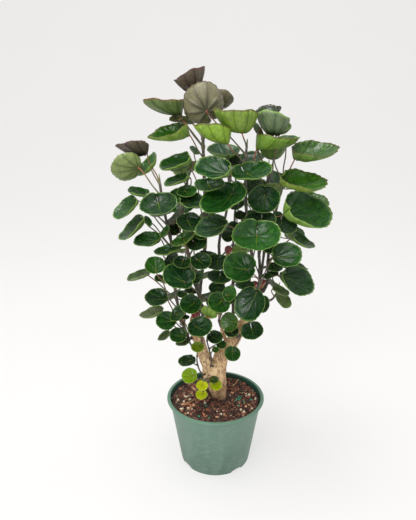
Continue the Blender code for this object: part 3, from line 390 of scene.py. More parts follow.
for vertex in bm.verts:
    vertex[tint] = (*colour(44, 27, 25), 1.0)

draw = random.Random(11)


def scatter(count):
    """Places on the mix, evenly spread and clear of the trunk."""
    for _ in range(count):
        turn = draw.uniform(0, math.tau)
        span = (SOIL_RADIUS - 0.003) * math.sqrt(draw.uniform(0.0, 1.0))
        x, y = span * math.cos(turn), span * math.sin(turn)
        if math.hypot(x - 0.0185, y - 0.003) > TRUNK_CLEARANCE:
            yield x, y


def added(whole, bit):
    """Adds one small mesh to a larger one of the same layers."""
    held = bpy.data.meshes.new("bit")
    bit.to_mesh(held)
    bit.free()
    whole.from_mesh(held)
    bpy.data.meshes.remove(held)


CHIP_TINTS = [
    (112, 62, 46), (66, 34, 30), (140, 88, 66), (38, 22, 22), (164, 112, 82), (98, 52, 42), (50, 32, 31),
    (124, 78, 64), (160, 94, 62), (84, 46, 38), (192, 146, 116), (58, 34, 30), (92, 60, 54),
]
lump = bmesh.new()
bmesh.ops.create_cube(lump, size=1.0)
bmesh.ops.subdivide_edges(lump, edges=lump.edges[:], cuts=1, use_grid_fill=True)
block = bpy.data.meshes.new("chip")
lump.to_mesh(block)
lump.free()
CHIPS = 980
for x, y in scatter(CHIPS):
    long = draw.uniform(0.0022, 0.0052) + draw.uniform(0.0, 0.0080) * draw.random() ** 2
    chip = bmesh.new()
    chip.from_mesh(block)
    paint = chip.verts.layers.float_color.new("tint")
    size = Vector((long, long * draw.uniform(0.3, 0.6), draw.uniform(0.0009, 0.0024)))
    turn = Matrix.Rotation(draw.uniform(0, 6.28), 3, "Z") @ Matrix.Rotation(draw.uniform(-0.5, 0.5), 3, "X")
    turn = turn @ Matrix.Rotation(draw.uniform(-0.35, 0.35), 3, "Y")
    shade = draw.choice((0.3, 0.55, 0.85, 1.2, 1.6, 2.1)) * draw.uniform(0.8, 1.2)
    red, green, blue = colour(*draw.choice(CHIP_TINTS))
    for vertex in chip.verts:
        soft = vertex.co * (1.0 - 0.32 * (vertex.co.length - 0.5))
        jog = Vector((draw.uniform(-0.1, 0.1), draw.uniform(-0.1, 0.1), draw.uniform(-0.12, 0.12)))
        spot = turn @ Vector(a * b for a, b in zip(soft + jog, size))
        vertex.co = spot + Vector((x, y, mix_height(x, y) + draw.uniform(-0.0002, 0.0007)))
        vertex[paint] = (red * shade, green * shade, blue * shade, 1.0)
    added(bm, chip)
earth = Finish("potting_mix", 0.9)
tinted = earth.add("ShaderNodeAttribute", {"attribute_name": "tint"})["Color"]
grain = earth.noise(900.0, 4.0)
clump = earth.noise(160.0, 3.0)
tone = earth.mix(grain.between(0.45, 0.7) * 0.45, tinted, colour(196, 152, 130))
tone = earth.mix(clump.between(0.46, 0.28) * 0.6, tone, colour(26, 15, 15))
earth.drive(Base_Color=tone, Roughness=grain * 0.3 + 0.68)
earth.bump(grain + clump, 0.0006)
mix = shown("loose_mix", bm, [earth.material])
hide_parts("potting_mix")
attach(mix, "root")

# Crumbs and prills that the photo shows, at x, y in pixels, with the crumbs' sizes.
SEEN_CRUMBS = [
    (178, 401, 1.9), (185, 397, 1.5), (187, 398, 1.6), (190, 400, 1.9), (184, 402, 1.3),
    (181.5, 410, 2.3), (188.5, 409.5, 1.9), (192, 410, 1.2), (188, 414, 1.6), (205, 404, 1.4),
    (221, 415.5, 1.6), (217, 412, 0.9), (241, 410, 1.8), (244, 413, 1.6), (249, 396, 1.7),
    (255.5, 399, 2.0), (252, 410, 1.7), (230, 396, 1.0), (231, 415.5, 0.9), (246, 395, 1.1),
    (258, 392, 1.0), (172, 398, 0.9), (199, 422, 0.9), (236, 421, 1.0),
]
SEEN_PRILLS = [
    (238.5, 397), (240, 398.5), (237, 399.5), (239, 401), (235.5, 401.5), (244, 402), (239, 406),
    (206, 407), (199, 417), (209, 418), (251, 400.5),
]


def on_mix(x, y):
    """Where the photo's sight line through x, y meets the mix."""
    low, high = -75.0, 75.0
    for _ in range(30):
        depth = (low + high) / 2
        if seen(x, y, depth)[2] > SOIL_TOP + 0.0006:
            low = depth
        else:
            high = depth
    return seen(x, y, depth)[:2]


def crumbs(name, places, rough, finish):
    """Small rounded lumps that lie half sunk on the mix."""
    bm = bmesh.new()
    for x, y, size in places:
        made = bmesh.ops.create_icosphere(bm, subdivisions=2, radius=size)["verts"]
        shift = Vector((x * 900, y * 900, size * 5000))
        flat = Matrix.Rotation(x * 9000, 3, "Z")
        for vertex in made:
            spot = vertex.co / size
            swell = noise.noise(spot * 1.1 + shift) + 0.5 * noise.noise(spot * 2.7 + shift)
            spot = vertex.co * (1 + rough * swell)
            spot = flat @ Vector((spot.x, spot.y * (1 - 0.4 * rough), spot.z * (1 - 0.2 * rough)))
            vertex.co = spot + Vector((x, y, mix_height(x, y) + size * 0.5 + 0.0009))
    piece = shown(name, bm, [finish.material])
    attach(piece, "root")


perlite = Finish("perlite", 0.85)
pores = perlite.noise(1100.0, 3.0)
tone = perlite.mix(pores.between(0.4, 0.7), colour(226, 214, 180), colour(250, 244, 226))
stain = perlite.noise(90.0).between(0.5, 0.75)
perlite.drive(Base_Color=perlite.mix(stain * 0.5, tone, colour(176, 158, 116)))
perlite.bump(pores, 0.0003)
places = [(*on_mix(x, y), size * 0.00130) for x, y, size in SEEN_CRUMBS]
places += [(x, y, 0.0004 + 0.0011 * draw.random() ** 2) for x, y in scatter(46) if y > -0.04]
crumbs("perlite_crumbs", places, 0.9, perlite)

prill = Finish("feed_prill", 0.3)
spots = prill.noise(700.0)
prill.drive(Base_Color=prill.mix(spots.between(0.4, 0.7), colour(0, 142, 106), colour(36, 190, 148)))
prill.bump(spots, 0.0001)
places = [(*on_mix(x, y), 0.0015) for x, y in SEEN_PRILLS]
places += [(x, y, draw.uniform(0.0010, 0.0012)) for x, y in scatter(22) if y > -0.01]
crumbs("feed_prills", places, 0.05, prill)


def rod(name, line, radii, rounds):
    """A round rod along a line as a closed mesh, from a bevelled curve."""
    curve = bpy.data.curves.new(name, "CURVE")
    curve.dimensions = "3D"
    curve.bevel_depth = 1.0
    curve.bevel_resolution = rounds
    curve.use_fill_caps = True
    for row, sizes in zip(line, radii):
        spline = curve.splines.new("POLY")
        spline.points.add(len(row) - 1)
        for point, spot, size in zip(spline.points, row, sizes):
            point.co = (*spot, 1.0)
            point.radius = size
    wire = bpy.data.objects.new(name, curve)
    bpy.context.scene.collection.objects.link(wire)
    bpy.context.view_layer.update()
    mesh = bpy.data.meshes.new_from_object(wire.evaluated_get(bpy.context.evaluated_depsgraph_get()))
    bpy.data.objects.remove(wire)
    bpy.data.curves.remove(curve)
    return mesh


twig_rows = []
twig_sizes = []
SEEN_TWIGS = [
    ((184.5, 406.0), (196.0, 400.5)), ((233.0, 388.5), (238.5, 380.5)), ((247.0, 404.0), (252.0, 407.0)),
]
for ends in SEEN_TWIGS:
    first, last = (on_mix(*end) for end in ends)
    flat = np.linspace(first, last, 9)
    bow = 0.0012 * np.sin(np.linspace(0, math.pi, 9))
    twig_rows.append([(x, y, mix_height(x, y) + 0.0020 + lift) for (x, y), lift in zip(flat, bow)])
    twig_sizes.append(0.0008 + 0.0001 * np.sin(np.arange(9) * 2.1))
twig_wood = Finish("twig", 0.7)
grain = twig_wood.noise(500.0, 4.0)
tone = twig_wood.mix(grain.between(0.35, 0.7), colour(158, 106, 66), colour(214, 166, 118))
twig_wood.drive(Base_Color=tone)
twig_wood.bump(grain, 0.0002)
twigs = bpy.data.objects.new("dry_twigs", rod("dry_twigs", twig_rows, twig_sizes, 2))
bpy.context.scene.collection.objects.link(twigs)
twigs.data.materials.append(twig_wood.material)
twigs.data.shade_smooth()
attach(twigs, "root")


# The trunk: old pale wood with finely speckled, slightly wrinkled bark. It swells below
# the fork, where two thick limbs and a thin one part, and its foot stands in the mix.
def unit(vector):
    """The vector at length 1."""
    return vector / np.linalg.norm(vector)


def smooth(rows, steps):
    """A Catmull-Rom line through the rows, with steps pieces between two of them."""
    rows = np.array(rows, dtype=float)
    ends = [2 * rows[0] - rows[1]] + list(rows) + [2 * rows[-1] - rows[-2]]
    line = []
    for a, b, c, d in zip(ends, ends[1:], ends[2:], ends[3:]):
        for step in range(steps):
            t = step / steps
            line.append(b + 0.5 * t * (c - a + t * (2 * a - 5 * b + 4 * c - d + t * (3 * (b - c) + d - a))))
    line.append(rows[-1])
    return np.array(line)


# Wooden limbs: way points x, y, depth and the radius there, both in mm.
LIMBS = {
    "trunk": [(217.5, 386, 2, 14.2), (214.5, 374, 1, 18.2), (214, 366, 1, 17.0), (213.5, 361, 1, 10.5)],
    "left": [
        (212, 373, 0, 11.0), (204.8, 357, -6, 8.9), (199.5, 342, -10, 7.7),
        (194.5, 330, -11, 6.4), (193.5, 321, -10, 5.6), (195.8, 312.6, -10, 5.0),
    ],
    "right": [
        (217, 372, 0, 12.5), (221.8, 356, 3, 11.2), (232.3, 341.5, 6, 9.4), (242, 327, 7, 8.4),
        (248.5, 312, 8, 7.2), (252.5, 297, 6, 4.6), (255, 283, 4, 3.4),
    ],
    "fork": [(249, 311, 8, 5.6), (256.5, 299, 13, 4.4), (261, 290, 17, 3.8), (263.5, 281, 18, 3.3)],
    "middle": [
        (229, 348, 6, 3.6), (225, 339, 13, 3.0), (220.5, 325, 16, 2.6), (219.5, 312, 16, 2.5),
        (223, 289, 15, 2.5), (227, 262, 15, 3.0), (228.4, 249.8, 12, 4.5),
    ],
}
SEALED = {"left": "seal_left", "middle": "seal_middle", "right": "seal_right", "fork": "seal_fork"}
SEAL_TOPS = {"left": 0.0024, "middle": 0.0060, "right": 0.0026, "fork": 0.0026}
SEAL_SKIRTS = {"left": 0.0052, "middle": 0.0022, "right": 0.0030, "fork": 0.0030}
TRUNK_FOOT_RADIUS = 0.0104


def limb_line(name):
    """Centres and radii along a limb, in metres."""
    rows = []
    for x, y, depth, radius in LIMBS[name]:
        rows.append(np.append(seen(x, y, depth), radius / 1000))
    return smooth(rows, 2)


def seal_line(name):
    """The two ends of the wax cap on a limb's cut end, with its radius."""
    line = limb_line(name)
    way = unit(line[-1, :3] - line[-2, :3])
    radius = line[-1, 3] + 0.0013
    ends = (-SEAL_SKIRTS[name], SEAL_TOPS[name])
    return np.array([np.append(line[-1, :3] + along * way, radius) for along in ends])


wood_rows = []
wood_sizes = []
foot = seen(219.5, 403, 3)
first = smooth([(*seen(x, y, depth), radius / 1000) for x, y, depth, radius in LIMBS["trunk"]], 8)
levels = (0.062, 0.078, SOIL_TOP - 0.0045, SOIL_TOP + 0.0005)
base = [(foot[0], foot[1], level, TRUNK_FOOT_RADIUS) for level in levels]
stump = smooth(base + [tuple(row) for row in first[::8]], 8)
for line in [stump] + [smooth(limb_line(name), 5) for name in ("left", "right", "fork", "middle")]:
    wood_rows.append(line[:, :3])
    wood_sizes.append(line[:, 3])
trunk = bpy.data.objects.new("old_wood", rod("old_wood", wood_rows, wood_sizes, 8))
bpy.context.scene.collection.objects.link(trunk)
melt = trunk.modifiers.new("melt", "REMESH")
melt.mode = "VOXEL"
melt.voxel_size = 0.0009
settled(trunk)
bm = bmesh.new()
bm.from_mesh(trunk.data)
for _ in range(6):
    bmesh.ops.smooth_vert(bm, verts=bm.verts[:], factor=0.5,
                          use_axis_x=True, use_axis_y=True, use_axis_z=True)
bm.normal_update()
# The bark's deep crease at the front of the fork, pressed into the wood; how near each point lies to it is
# kept for the painted shade in the crease.
crease = [Vector(seen(x, y, depth)) for x, y, depth in (
    (210.5, 358, -9), (212, 361, -13), (214, 364.5, -16), (217, 367.5, -17), (220.5, 369.5, -16))]
crease_shade = bm.verts.layers.float.new("crease_shade")
for vertex in bm.verts:
    spot = vertex.co
    near = min((spot - point).length for point in crease)
    groove = -0.0032 * max(1 - near / 0.0042, 0.0)
    vertex[crease_shade] = max(1 - near / 0.0050, 0.0)
    long = Vector((spot.x * 210, spot.y * 210, spot.z * 90))
    knobs = noise.noise(spot * 70) * 0.0014 + noise.noise(long) * 0.0010
    rings = 0.00018 * math.sin(spot.z * 950 + 5 * noise.noise(spot * 55))
    warts = max(noise.noise(spot * 560) - 0.12, 0.0) * 0.0011
    cracks = max(0.10 - abs(noise.noise(long * 1.7)), 0.0) * -0.0050
    if spot.z > SOIL_TOP - 0.002:
        vertex.co = spot + vertex.normal * (knobs + rings + warts + cracks + groove)
bm.to_mesh(trunk.data)
bm.free()
trunk.data.shade_smooth()
bark = Finish("bark", 0.8)
place = bark.place()
upright = bark.add("ShaderNodeMapping", None, {"Vector": place, "Scale": (1.0, 1.0, 0.45)})["Vector"]
broad = bark.noise(34.0, 3.0)
patch = bark.noise(150.0, 4.0, upright)
fleck = bark.noise(380.0, 5.0, upright)
fine = bark.noise(820.0, 4.0)
tone = bark.mix(broad.between(0.35, 0.65), colour(214, 166, 114), colour(250, 216, 164))
tone = bark.mix(patch.between(0.46, 0.62) * 0.6, tone, colour(174, 126, 80))
tone = bark.mix(fleck.between(0.50, 0.57) * 0.75, tone, colour(124, 80, 54))
tone = bark.mix(fine.between(0.52, 0.60) * 0.7, tone, colour(252, 226, 194))
level = bark.add("ShaderNodeSeparateXYZ", None, {"Vector": place})["Z"]
tone = bark.mix((level - 0.2).between(0.0, 0.12) * 0.45, tone, colour(206, 152, 118))
tone = bark.mix(level.between(0.116, 0.100) * 0.5, tone, colour(112, 74, 48))
# Painted shade: the bark goes dark brown in and near the crease at the fork.
crease_shade = bark.add("ShaderNodeAttribute", {"attribute_name": "crease_shade"})["Fac"]
tone = bark.mix((crease_shade + patch * 0.4 - 0.2).between(0.15, 0.75) * 0.85, tone, colour(62, 42, 30))
bark.drive(Base_Color=tone, Roughness=fleck * 0.25 + 0.62)
bark.bump(patch * 0.8 + fleck + fine * 0.5, 0.0009, 0.9)
trunk.data.materials.append(bark.material)
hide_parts("trunk")
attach(trunk, "root")


# The wax: dark red grafting wax dabbed over each cut limb end, thick in the middle,
# thin and uneven at its edge, with a short run down one side.
wax = Finish("grafting_wax", 0.35, Coat_Weight=0.3, Coat_Roughness=0.3)
ripple = wax.noise(240.0, 4.0)
smear = wax.noise(90.0, 2.0)
tone = wax.mix(ripple.between(0.35, 0.7), colour(132, 26, 34), colour(182, 52, 54))
tone = wax.mix(smear.between(0.55, 0.8) * 0.5, tone, colour(196, 96, 92))
wax.drive(Base_Color=tone, Roughness=ripple * 0.3 + 0.25)
wax.bump(ripple, 0.0004)
for name, node in SEALED.items():
    line = limb_line(name)
    way = Vector(unit(line[-1, :3] - line[-2, :3]))
    size = line[-1, 3]
    bm = bmesh.new()
    bmesh.ops.create_uvsphere(bm, u_segments=32, v_segments=18, radius=1.0)
    turn = Vector((0, 0, 1)).rotation_difference(way).to_matrix()
    for vertex in bm.verts:
        spot = vertex.co.copy()
        run = 1 + 0.16 * noise.noise(spot * 1.6 + way * 7)
        side = (turn @ spot).dot(Vector((-0.5, -0.85, 0.0)))
        drip = 0.6 + 1.2 * max(side - 0.2, 0.0) + 0.25 * noise.noise(vertex.co * 2.3 + way * 3)
        drip *= 1 + (SEAL_SKIRTS[name] - 0.0022) * 160
        spot = Vector((spot.x * run, spot.y * run, spot.z)) * (size + 0.0011)
        spot.z *= (SEAL_TOPS[name] + 0.0006) / (size + 0.0011) if spot.z > 0 else drip
        vertex.co = turn @ spot + Vector(line[-1, :3])
    seal = shown(node.replace("seal", "wax"), bm, [wax.material])
    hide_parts(node)
    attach(seal, "root")


# The leafy shoots: slender dark stems from the old wood. Each leaf is a round cupped blade
# on a long thin stalk, with a notch where the stalk meets it, pale veins and a paler rim; the pale
# rim line is partly the margin's own colour and partly painted glow of light through the thin edge.
# The gap between a shoot's base and the bark, as in the solid model.
GAP = 0.0003

# Shoots: the limb each grows from, its base and tip radius in mm, and way points x, y, depth.
Shoot = namedtuple("Shoot", "limb base tip points")
SHOOTS = {
    "left_outer": Shoot("left", 2.4, 1.6, [
        (192, 334, -8), (184, 327, -14), (179, 310, -20), (175, 288, -24), (174, 262, -28),
        (170, 236, -30), (165, 215, -30), (162, 197, -30), (159, 174, -30),
    ]),
    "left_inner": Shoot("left", 2.6, 1.5, [
        (198, 324, -14), (203, 312, -20), (200, 300, -16), (196, 284, -16), (189, 256, -22),
        (184, 232, -26), (183, 210, -26), (186, 188, -24), (189, 172, -22),
    ]),
    "crown": Shoot("left", 3.0, 2.0, [
        (196, 321, 0), (199.5, 307, 9), (200, 290, 7), (203.5, 262, 6), (206, 230, 8),
        (205, 195, 8), (203.5, 158, 4), (203, 138, 2), (203, 118, 0),
    ]),
    "mid": Shoot("middle", 2.4, 1.5, [
        (226, 266, 12), (220, 258, 6), (219, 246, 8), (221, 232, 12), (226, 214, 14),
        (229, 190, 18), (228, 165, 22), (227, 148, 26),
    ]),
    "centre": Shoot("right", 3.0, 1.8, [
        (250, 306, -4), (247, 296, -12), (249, 280, -12), (252, 262, -10), (251, 248, -12),
        (248, 226, -20), (246, 205, -26), (245.5, 176, -30), (246, 155, -30), (247.5, 139, -30),
    ]),
    "right_mid": Shoot("right", 2.6, 1.6, [
        (254, 298, 0), (258, 288, -11), (260, 276, -9), (259.5, 262, -3), (259, 250, 0), (262, 228, 4),
        (265, 205, 6), (268, 180, 8), (269, 160, 8),
    ]),
    "right_outer": Shoot("fork", 2.7, 1.6, [
        (263, 291, 14), (268, 280, 10), (268, 262, 10), (270, 240, 14), (275, 215, 18),
        (281, 192, 20), (286, 176, 22),
    ]),
    "back_right": Shoot("fork", 2.6, 1.6, [
        (256, 302, 22), (258, 290, 34), (262, 268, 42), (266, 235, 52), (268, 205, 60), (268, 182, 64),
    ]),
    "back_mid": Shoot("right", 2.6, 1.6, [
        (236, 330, 20), (233, 314, 34), (233, 285, 44), (233, 250, 58), (235, 215, 68),
        (236, 190, 74), (235, 168, 78),
    ]),
    "back_left": Shoot("left", 2.6, 1.6, [
        (197, 332, 4), (196, 318, 18), (191, 290, 32), (188, 255, 46), (186, 220, 58),
        (187, 198, 64), (188, 180, 68),
    ]),
    "low_left": Shoot("left", 1.5, 1.1, [(193, 345, -8), (188, 339, -18), (185, 330, -26), (184, 322, -30)]),
    "front_left": Shoot("left", 1.8, 1.2, [(200, 346, -20), (202, 341, -30), (201, 334, -42)]),
    "front_mid": Shoot("middle", 1.8, 1.2, [(220, 326, 8), (219, 321, -8), (221, 314, -26), (223, 304, -42)]),
    "front_right": Shoot("right", 2.0, 1.2, [
        (238, 337, -4), (243, 332, -20), (250, 322, -34), (253, 308, -46),
    ]),
    "foot_left": Shoot("trunk", 1.8, 1.1, [(209, 382, -16), (205, 381, -28), (200, 378, -38)]),
    "fork_left": Shoot("trunk", 1.4, 1.0, [
        (203, 374, -10), (199, 369, -18), (197, 361, -24), (197.5, 352, -28),
    ]),
    "fork_front": Shoot("right", 1.4, 1.0, [
        (213, 367, -10), (211.5, 359, -19), (209, 349, -22), (207, 341, -25), (207, 335, -27),
    ]),
    "low_right": Shoot("fork", 1.9, 1.2, [(263, 303, 8), (271, 300, -2), (277, 292, -10), (280, 282, -14)]),
}

# Leaves read from the photo, in the order in which they are placed: the rim's centre and width in pixels,
# how open the rim's ellipse is (negative from below), its slant in degrees, its depth in mm, its shoot and
# its tone. Then, where it differs, where the notch lies in the rim's plane in degrees (None turns it to the
# stem), how far out the stalk meets the blade and how deep it is cupped, both as shares of its radius.
Leaf = namedtuple("Leaf", "x y wide open slant depth shoot tone notch stalk cup", defaults=(None, 0.5, 0.3))
LEAVES = [Leaf(*row) for row in (
    (189.3, 73.9, 34, -0.1, 25, 10, "crown", "purple", 250, 0.5, 0.83),
    (203.2, 103.6, 42, -0.99, 0, -8, "centre", "bronze", -60, 0.3, 0.5),
    (221.3, 99.3, 24.5, -0.75, 0, 18, "crown", "bronze", None, 0.5, 0.4),
    (163, 102, 40, -0.12, 1, 0, "crown", "burnt", 0, 0.9, 0.6),
    (167.3, 131, 43, 0.2, 19, -15, "crown", "bright", 0, 0.9, 0.5),
    (182, 118, 26, -0.1, 0, 15, "crown", "burnt", 0, 0.8, 0.4),
    (236, 112.5, 46, -0.08, -4, -35, "centre", "lime", 53, 0.5, 0.85),
    (212, 127, 40, -0.1, -5, -45, "centre", "lime", 10, 0.85, 0.75),
    (267.8, 110.6, 28, 0.35, 8, 0, "right_mid", "maroon", None, 0.5, 0.4),
    (273, 118, 33, -0.35, -12, -5, "right_mid", "grey", 0, 0.3, 0.95),
    (258, 128, 18, -0.2, -50, 10, "right_mid", "grey", None, 0.5, 0.4),
    (277, 138.8, 42, -0.08, -9, -20, "right_mid", "lime", 180, 0.85, 0.6),
    (286, 138, 28, 0.12, 0, 15, "right_outer", "dark"),
    (273, 149, 26, -0.1, 0, -5, "right_mid", "dark", 270, 0.3, 0.75),
    (315, 149, 47, 0.33, -4, -20, "right_outer", "young", 190, 0.8, 0.4),
    (223.5, 149.5, 33, 0.36, -2, 30, "mid", "dark"),
    (195, 150, 12, 0.4, -35, 40, "crown", "dark"),
    (252, 157, 26, 0.4, 0, 25, "mid", "dark"),
    (132.2, 145.9, 33, -0.25, 6, 0, "left_outer", "purple", -20, 0.85, 0.45),
    (127, 167.2, 33, -0.8, 20, -15, "left_outer", "olive", 0, 0.6, 0.4),
    (147, 164, 28, 0.3, 52, 10, "left_outer", "vivid"),
    (174.6, 161.2, 34, 0.35, 24, -28, "left_inner", "green", 0, 0.9, 0.4),
    (179, 166.5, 20, 0.4, 15, 6, "left_inner", "green"),
    (176, 179.5, 27, 0.3, 25, -34, "left_inner", "green", 0, 0.95),
    (138.5, 191, 22, 0.35, -5, -10, "left_outer", "green"),
    (125, 207.5, 30, 0.46, 45, -20, "left_outer", "green", 0, 0.9),
    (158.3, 203.5, 39, 0.58, 14, -48, "left_outer", "grey", 90, 0.5),
    (131.3, 227.6, 34, 0.3, 47, -20, "left_outer", "green", 0, 0.9),
    (148, 221, 12, 0.5, -60, -20, "left_outer", "green"),
    (147, 239, 28, 0.5, 15, -34, "left_outer", "green", 0, 0.9),
    (187, 191, 20, 0.6, 10, -46, "left_inner", "green"),
    (192, 200, 25, 0.6, 0, -62, "left_inner", "dark", 180, 0.9),
    (165, 231, 14, 0.4, 60, -45, "left_outer", "green"),
    (190, 222, 27, 0.7, -5, -56, "left_inner", "dark"),
    (174, 218, 20, 0.3, 40, -40, "left_inner", "bronze"),
    (211, 226, 36, 0.55, 22, -74, "mid", "grey", 0, 0.8),
    (201, 234, 14, 0.8, 0, -60, "left_inner", "green"),
    (183, 238.5, 28, 0.35, 28, -60, "left_inner", "bright"),
    (196.5, 243, 22, 0.65, 8, -66, "left_inner", "dark"),
    (168, 249, 30, 0.3, 14, -52, "left_outer", "green"),
    (155, 265, 20, 0.9, 0, -52, "left_outer", "vivid", -80, 0.5),
    (170.5, 262, 22, 0.6, 62, -46, "left_outer", "grey"),
    (139, 274, 27, 0.25, 25, -30, "left_outer", "olive"),
    (179, 276, 34, 0.75, -20, -74, "left_inner", "dark", 0, 0.4),
    (182, 262, 18, 0.7, 0, -52, "left_inner", "dark"),
    (159, 278, 9, 0.8, 0, -34, "left_outer", "green"),
    (201, 261, 21, 0.85, 0, -70, "left_inner", "dark", 135, 0.5),
    (217, 262, 24, 0.7, 0, -60, "mid", "dark"),
    (219, 277, 24, 0.55, -12, -54, "mid", "dark"),
    (198, 277, 15, 0.6, 60, -44, "left_inner", "green"),
    (191, 291, 14, 0.4, 0, -40, "left_inner", "grey"),
    (212.5, 167, 38, 0.55, 3, -78, "centre", "dark", -10, 0.9, 0.36),
    (251.5, 170.5, 41, 0.45, 6, -62, "centre", "green", 125, 0.4),
    (209.5, 184, 31, 0.45, 4, -56, "crown", "green"),
    (223, 197.5, 49, 0.55, 22, -84, "centre", "green", 50, 0.6),
    (239.5, 266.5, 34, 0.9, -10, -90, "centre", "green", 5, 0.45),
    (256.5, 234.5, 49, 0.67, 0, -100, "centre", "green", 88, 0.27),
    (249.5, 304, 35, 0.88, 75, -80, "front_right", "dark", -7, 0.7),
    (263, 304, 17, 0.8, 85, -56, "low_right", "green"),
    (229.5, 293.5, 16, 0.85, 80, -66, "front_mid", "vivid"),
    (245, 285, 20, 0.4, 0, -60, "front_right", "green"),
    (219, 302.5, 23, 0.9, -20, -72, "front_mid", "green"),
    (209, 312, 18, -0.5, -30, -60, "front_mid", "lime"),
    (229, 322, 20, 0.88, 85, -62, "front_mid", "bright", -80, 0.75),
    (231.5, 331, 15, 0.8, 0, -52, "front_mid", "dark"),
    (252, 330.5, 22.5, 0.82, 5, -60, "front_right", "dark", 95, 0.35),
    (200, 326.5, 25, 0.82, 10, -64, "front_left", "dark", 140, 0.45),
    (215, 337, 16, 0.8, 0, -44, "fork_front", "dark"),
    (215.5, 349.5, 7, 0.85, 0, -34, "fork_front", "vivid"),
    (221.5, 344.5, 10, 0.8, 0, -36, "fork_front", "green"),
    (304, 180, 48, 0.38, -14, -40, "right_outer", "bright", 170, 0.9, 0.4),
    (277, 179, 26, 0.5, -35, 15, "right_outer", "dark"),
    (309, 209.3, 51.5, 0.57, -32, -46, "right_mid", "green", 220, 0.9, 0.4),
    (312, 199, 38, 0.35, -22, 12, "right_outer", "bright"),
    (264, 199, 33, 0.85, 0, -48, "right_mid", "dark"),
    (272, 189, 20, -0.6, 0, -20, "right_mid", "khaki"),
    (283, 223, 30, 0.62, -25, -36, "right_outer", "dark"),
    (300.5, 238.6, 33, 0.27, -33, -22, "right_outer", "green"),
    (287, 254.5, 31, 0.8, -8, -66, "right_mid", "green", 190, 0.8),
    (298.6, 280.6, 35, 0.75, -45, -52, "low_right", "dark", 200, 0.95),
    (275, 267, 16, 0.6, 0, -30, "right_outer", "green"),
    (281, 290.3, 18, 0.45, -28, -34, "low_right", "sage", 170, 0.8),
    (283.6, 299.8, 19, 0.66, -50, -26, "low_right", "sage"),
    (267, 276, 10, 0.6, 0, -24, "right_outer", "green"),
    (156.5, 297, 24, 0.72, 3, -40, "low_left", "dark", 0, 0.8),
    (151.5, 312, 25, 0.35, 18, -24, "low_left", "sage"),
    (166, 320.5, 21, 0.88, 0, -46, "low_left", "green", 10, 0.8),
    (190.5, 304, 22, 0.88, 0, -50, "left_inner", "green"),
    (178, 313, 20, 0.6, 50, -42, "low_left", "green"),
    (185, 317, 9, 0.5, 0, -44, "low_left", "bright"),
    (178, 335, 17, 0.9, 0, -42, "low_left", "green", 0, 0.6),
    (183, 342, 16, 0.4, 15, -30, "low_left", "sage"),
    (164, 335.5, 15, 0.45, 35, -30, "low_left", "olive"),
    (197.5, 347, 13, 0.8, 0, -46, "fork_left", "fresh"),
    (187, 360.5, 18, 0.62, 10, -36, "fork_left", "dark"),
    (189.5, 375.5, 16, 0.95, 0, -50, "foot_left", "fresh"),
    (214, 379.5, 9, 0.8, 0, -48, "foot_left", "young"),
    (216, 385, 12, 0.9, 0, -36, "foot_left", "spring"),
    (202, 385.5, 12, 0.8, 0, -54, "foot_left", "spring"),
    (201.5, 394.5, 12, 0.8, 0, -40, "foot_left", "spring"),
    (232.5, 353.5, 16, 0.95, 0, -40, "front_right", "green", 90, 0.5),
    (236, 160, 22, 0.55, 0, 20, "mid", "deep"),
    (256, 187, 28, 0.65, 0, -8, "centre", "deep"),
    (261, 219, 31, 0.55, 0, -62, "right_mid", "grey"),
    (228, 236, 13, 0.9, 0, -52, "centre", "deep"),
    (238, 205, 16, 0.45, 30, -48, "centre", "dark"),
    (217, 288, 17, 0.75, 0, -30, "mid", "dark"),
    (173, 229, 16, 0.8, 0, -36, "left_inner", "deep"),
    (176, 118, 14, 0.45, 15, 8, "crown", "bronze"),
    (207, 254, 18, 0.35, -5, -34, "left_inner", "dark"),
    (182, 294, 10, 0.75, 0, -34, "left_inner", "dark"),
    (272, 274, 13, 0.5, 10, -6, "right_outer", "dark"),
    (240, 215, 12, 0.7, 0, -46, "centre", "deep"),
    (282.3, 127, 18, 0.75, 10, 14, "right_mid", "olive"),
)]

# Leaves behind the ones that the photo shows: how many each shoot gets at most, and the share of the
# shoot's length that they start at.
HIDDEN = {
    "back_left": (20, 0.22), "back_mid": (20, 0.22), "back_right": (20, 0.22),
    "left_outer": (8, 0.25), "crown": (10, 0.3), "right_outer": (9, 0.2), "right_mid": (6, 0.3),
}
GOLDEN_ANGLE = math.radians(137.5)

# The room a blade takes up in thickness, the half width of a stalk where it meets the blade, how steeply
# a blade's bowl rises toward the rim, how high the rim waves, and the room kept clear round a blade or stalk.
BLADE = 0.0008
STALK_HALF = 0.0009
FLARE = 1.25
WAVE = 0.045
ROOM = 0.0006

# A leaf in its place: three directions, its radius, and how its blade is shaped.
Blade = namedtuple("Blade", "centre normal toward side radius stalk cup phase shoot tone")


def shoot_line(shoot, wood):
    """Centres and radii along a shoot that starts on its limb's bark and then follows its way points."""
    limb = limb_line(shoot.limb)
    way = [seen(*point) for point in shoot.points]
    near = np.argmin(np.linalg.norm(limb[:, :3] - way[0], axis=1))
    near = min(max(near, 1), len(limb) - 2)
    along = unit(limb[near + 1, :3] - limb[near - 1, :3])
    out = way[1] - limb[near, :3]
    out = unit(out - out.dot(along) * along)
    base = shoot.base / 1000
    for lift in np.arange(GAP, 0.008, 0.0002):
        bark = limb[near, :3] + (limb[near, 3] + lift) * out
        collar = np.array((bark, bark + 0.004 * out))
        if not wood.hits(tube_shell(collar, (base, base), 2 * GAP), "", ()):
            break
    line = np.vstack((bark, smooth([bark + 0.004 * out] + way[1:], 2)))
    share = np.linspace(0, 1, len(line))
    radii = (shoot.base + (shoot.tip - shoot.base) * share) / 1000
    radii[-1] *= 0.4
    return np.column_stack((line, radii))


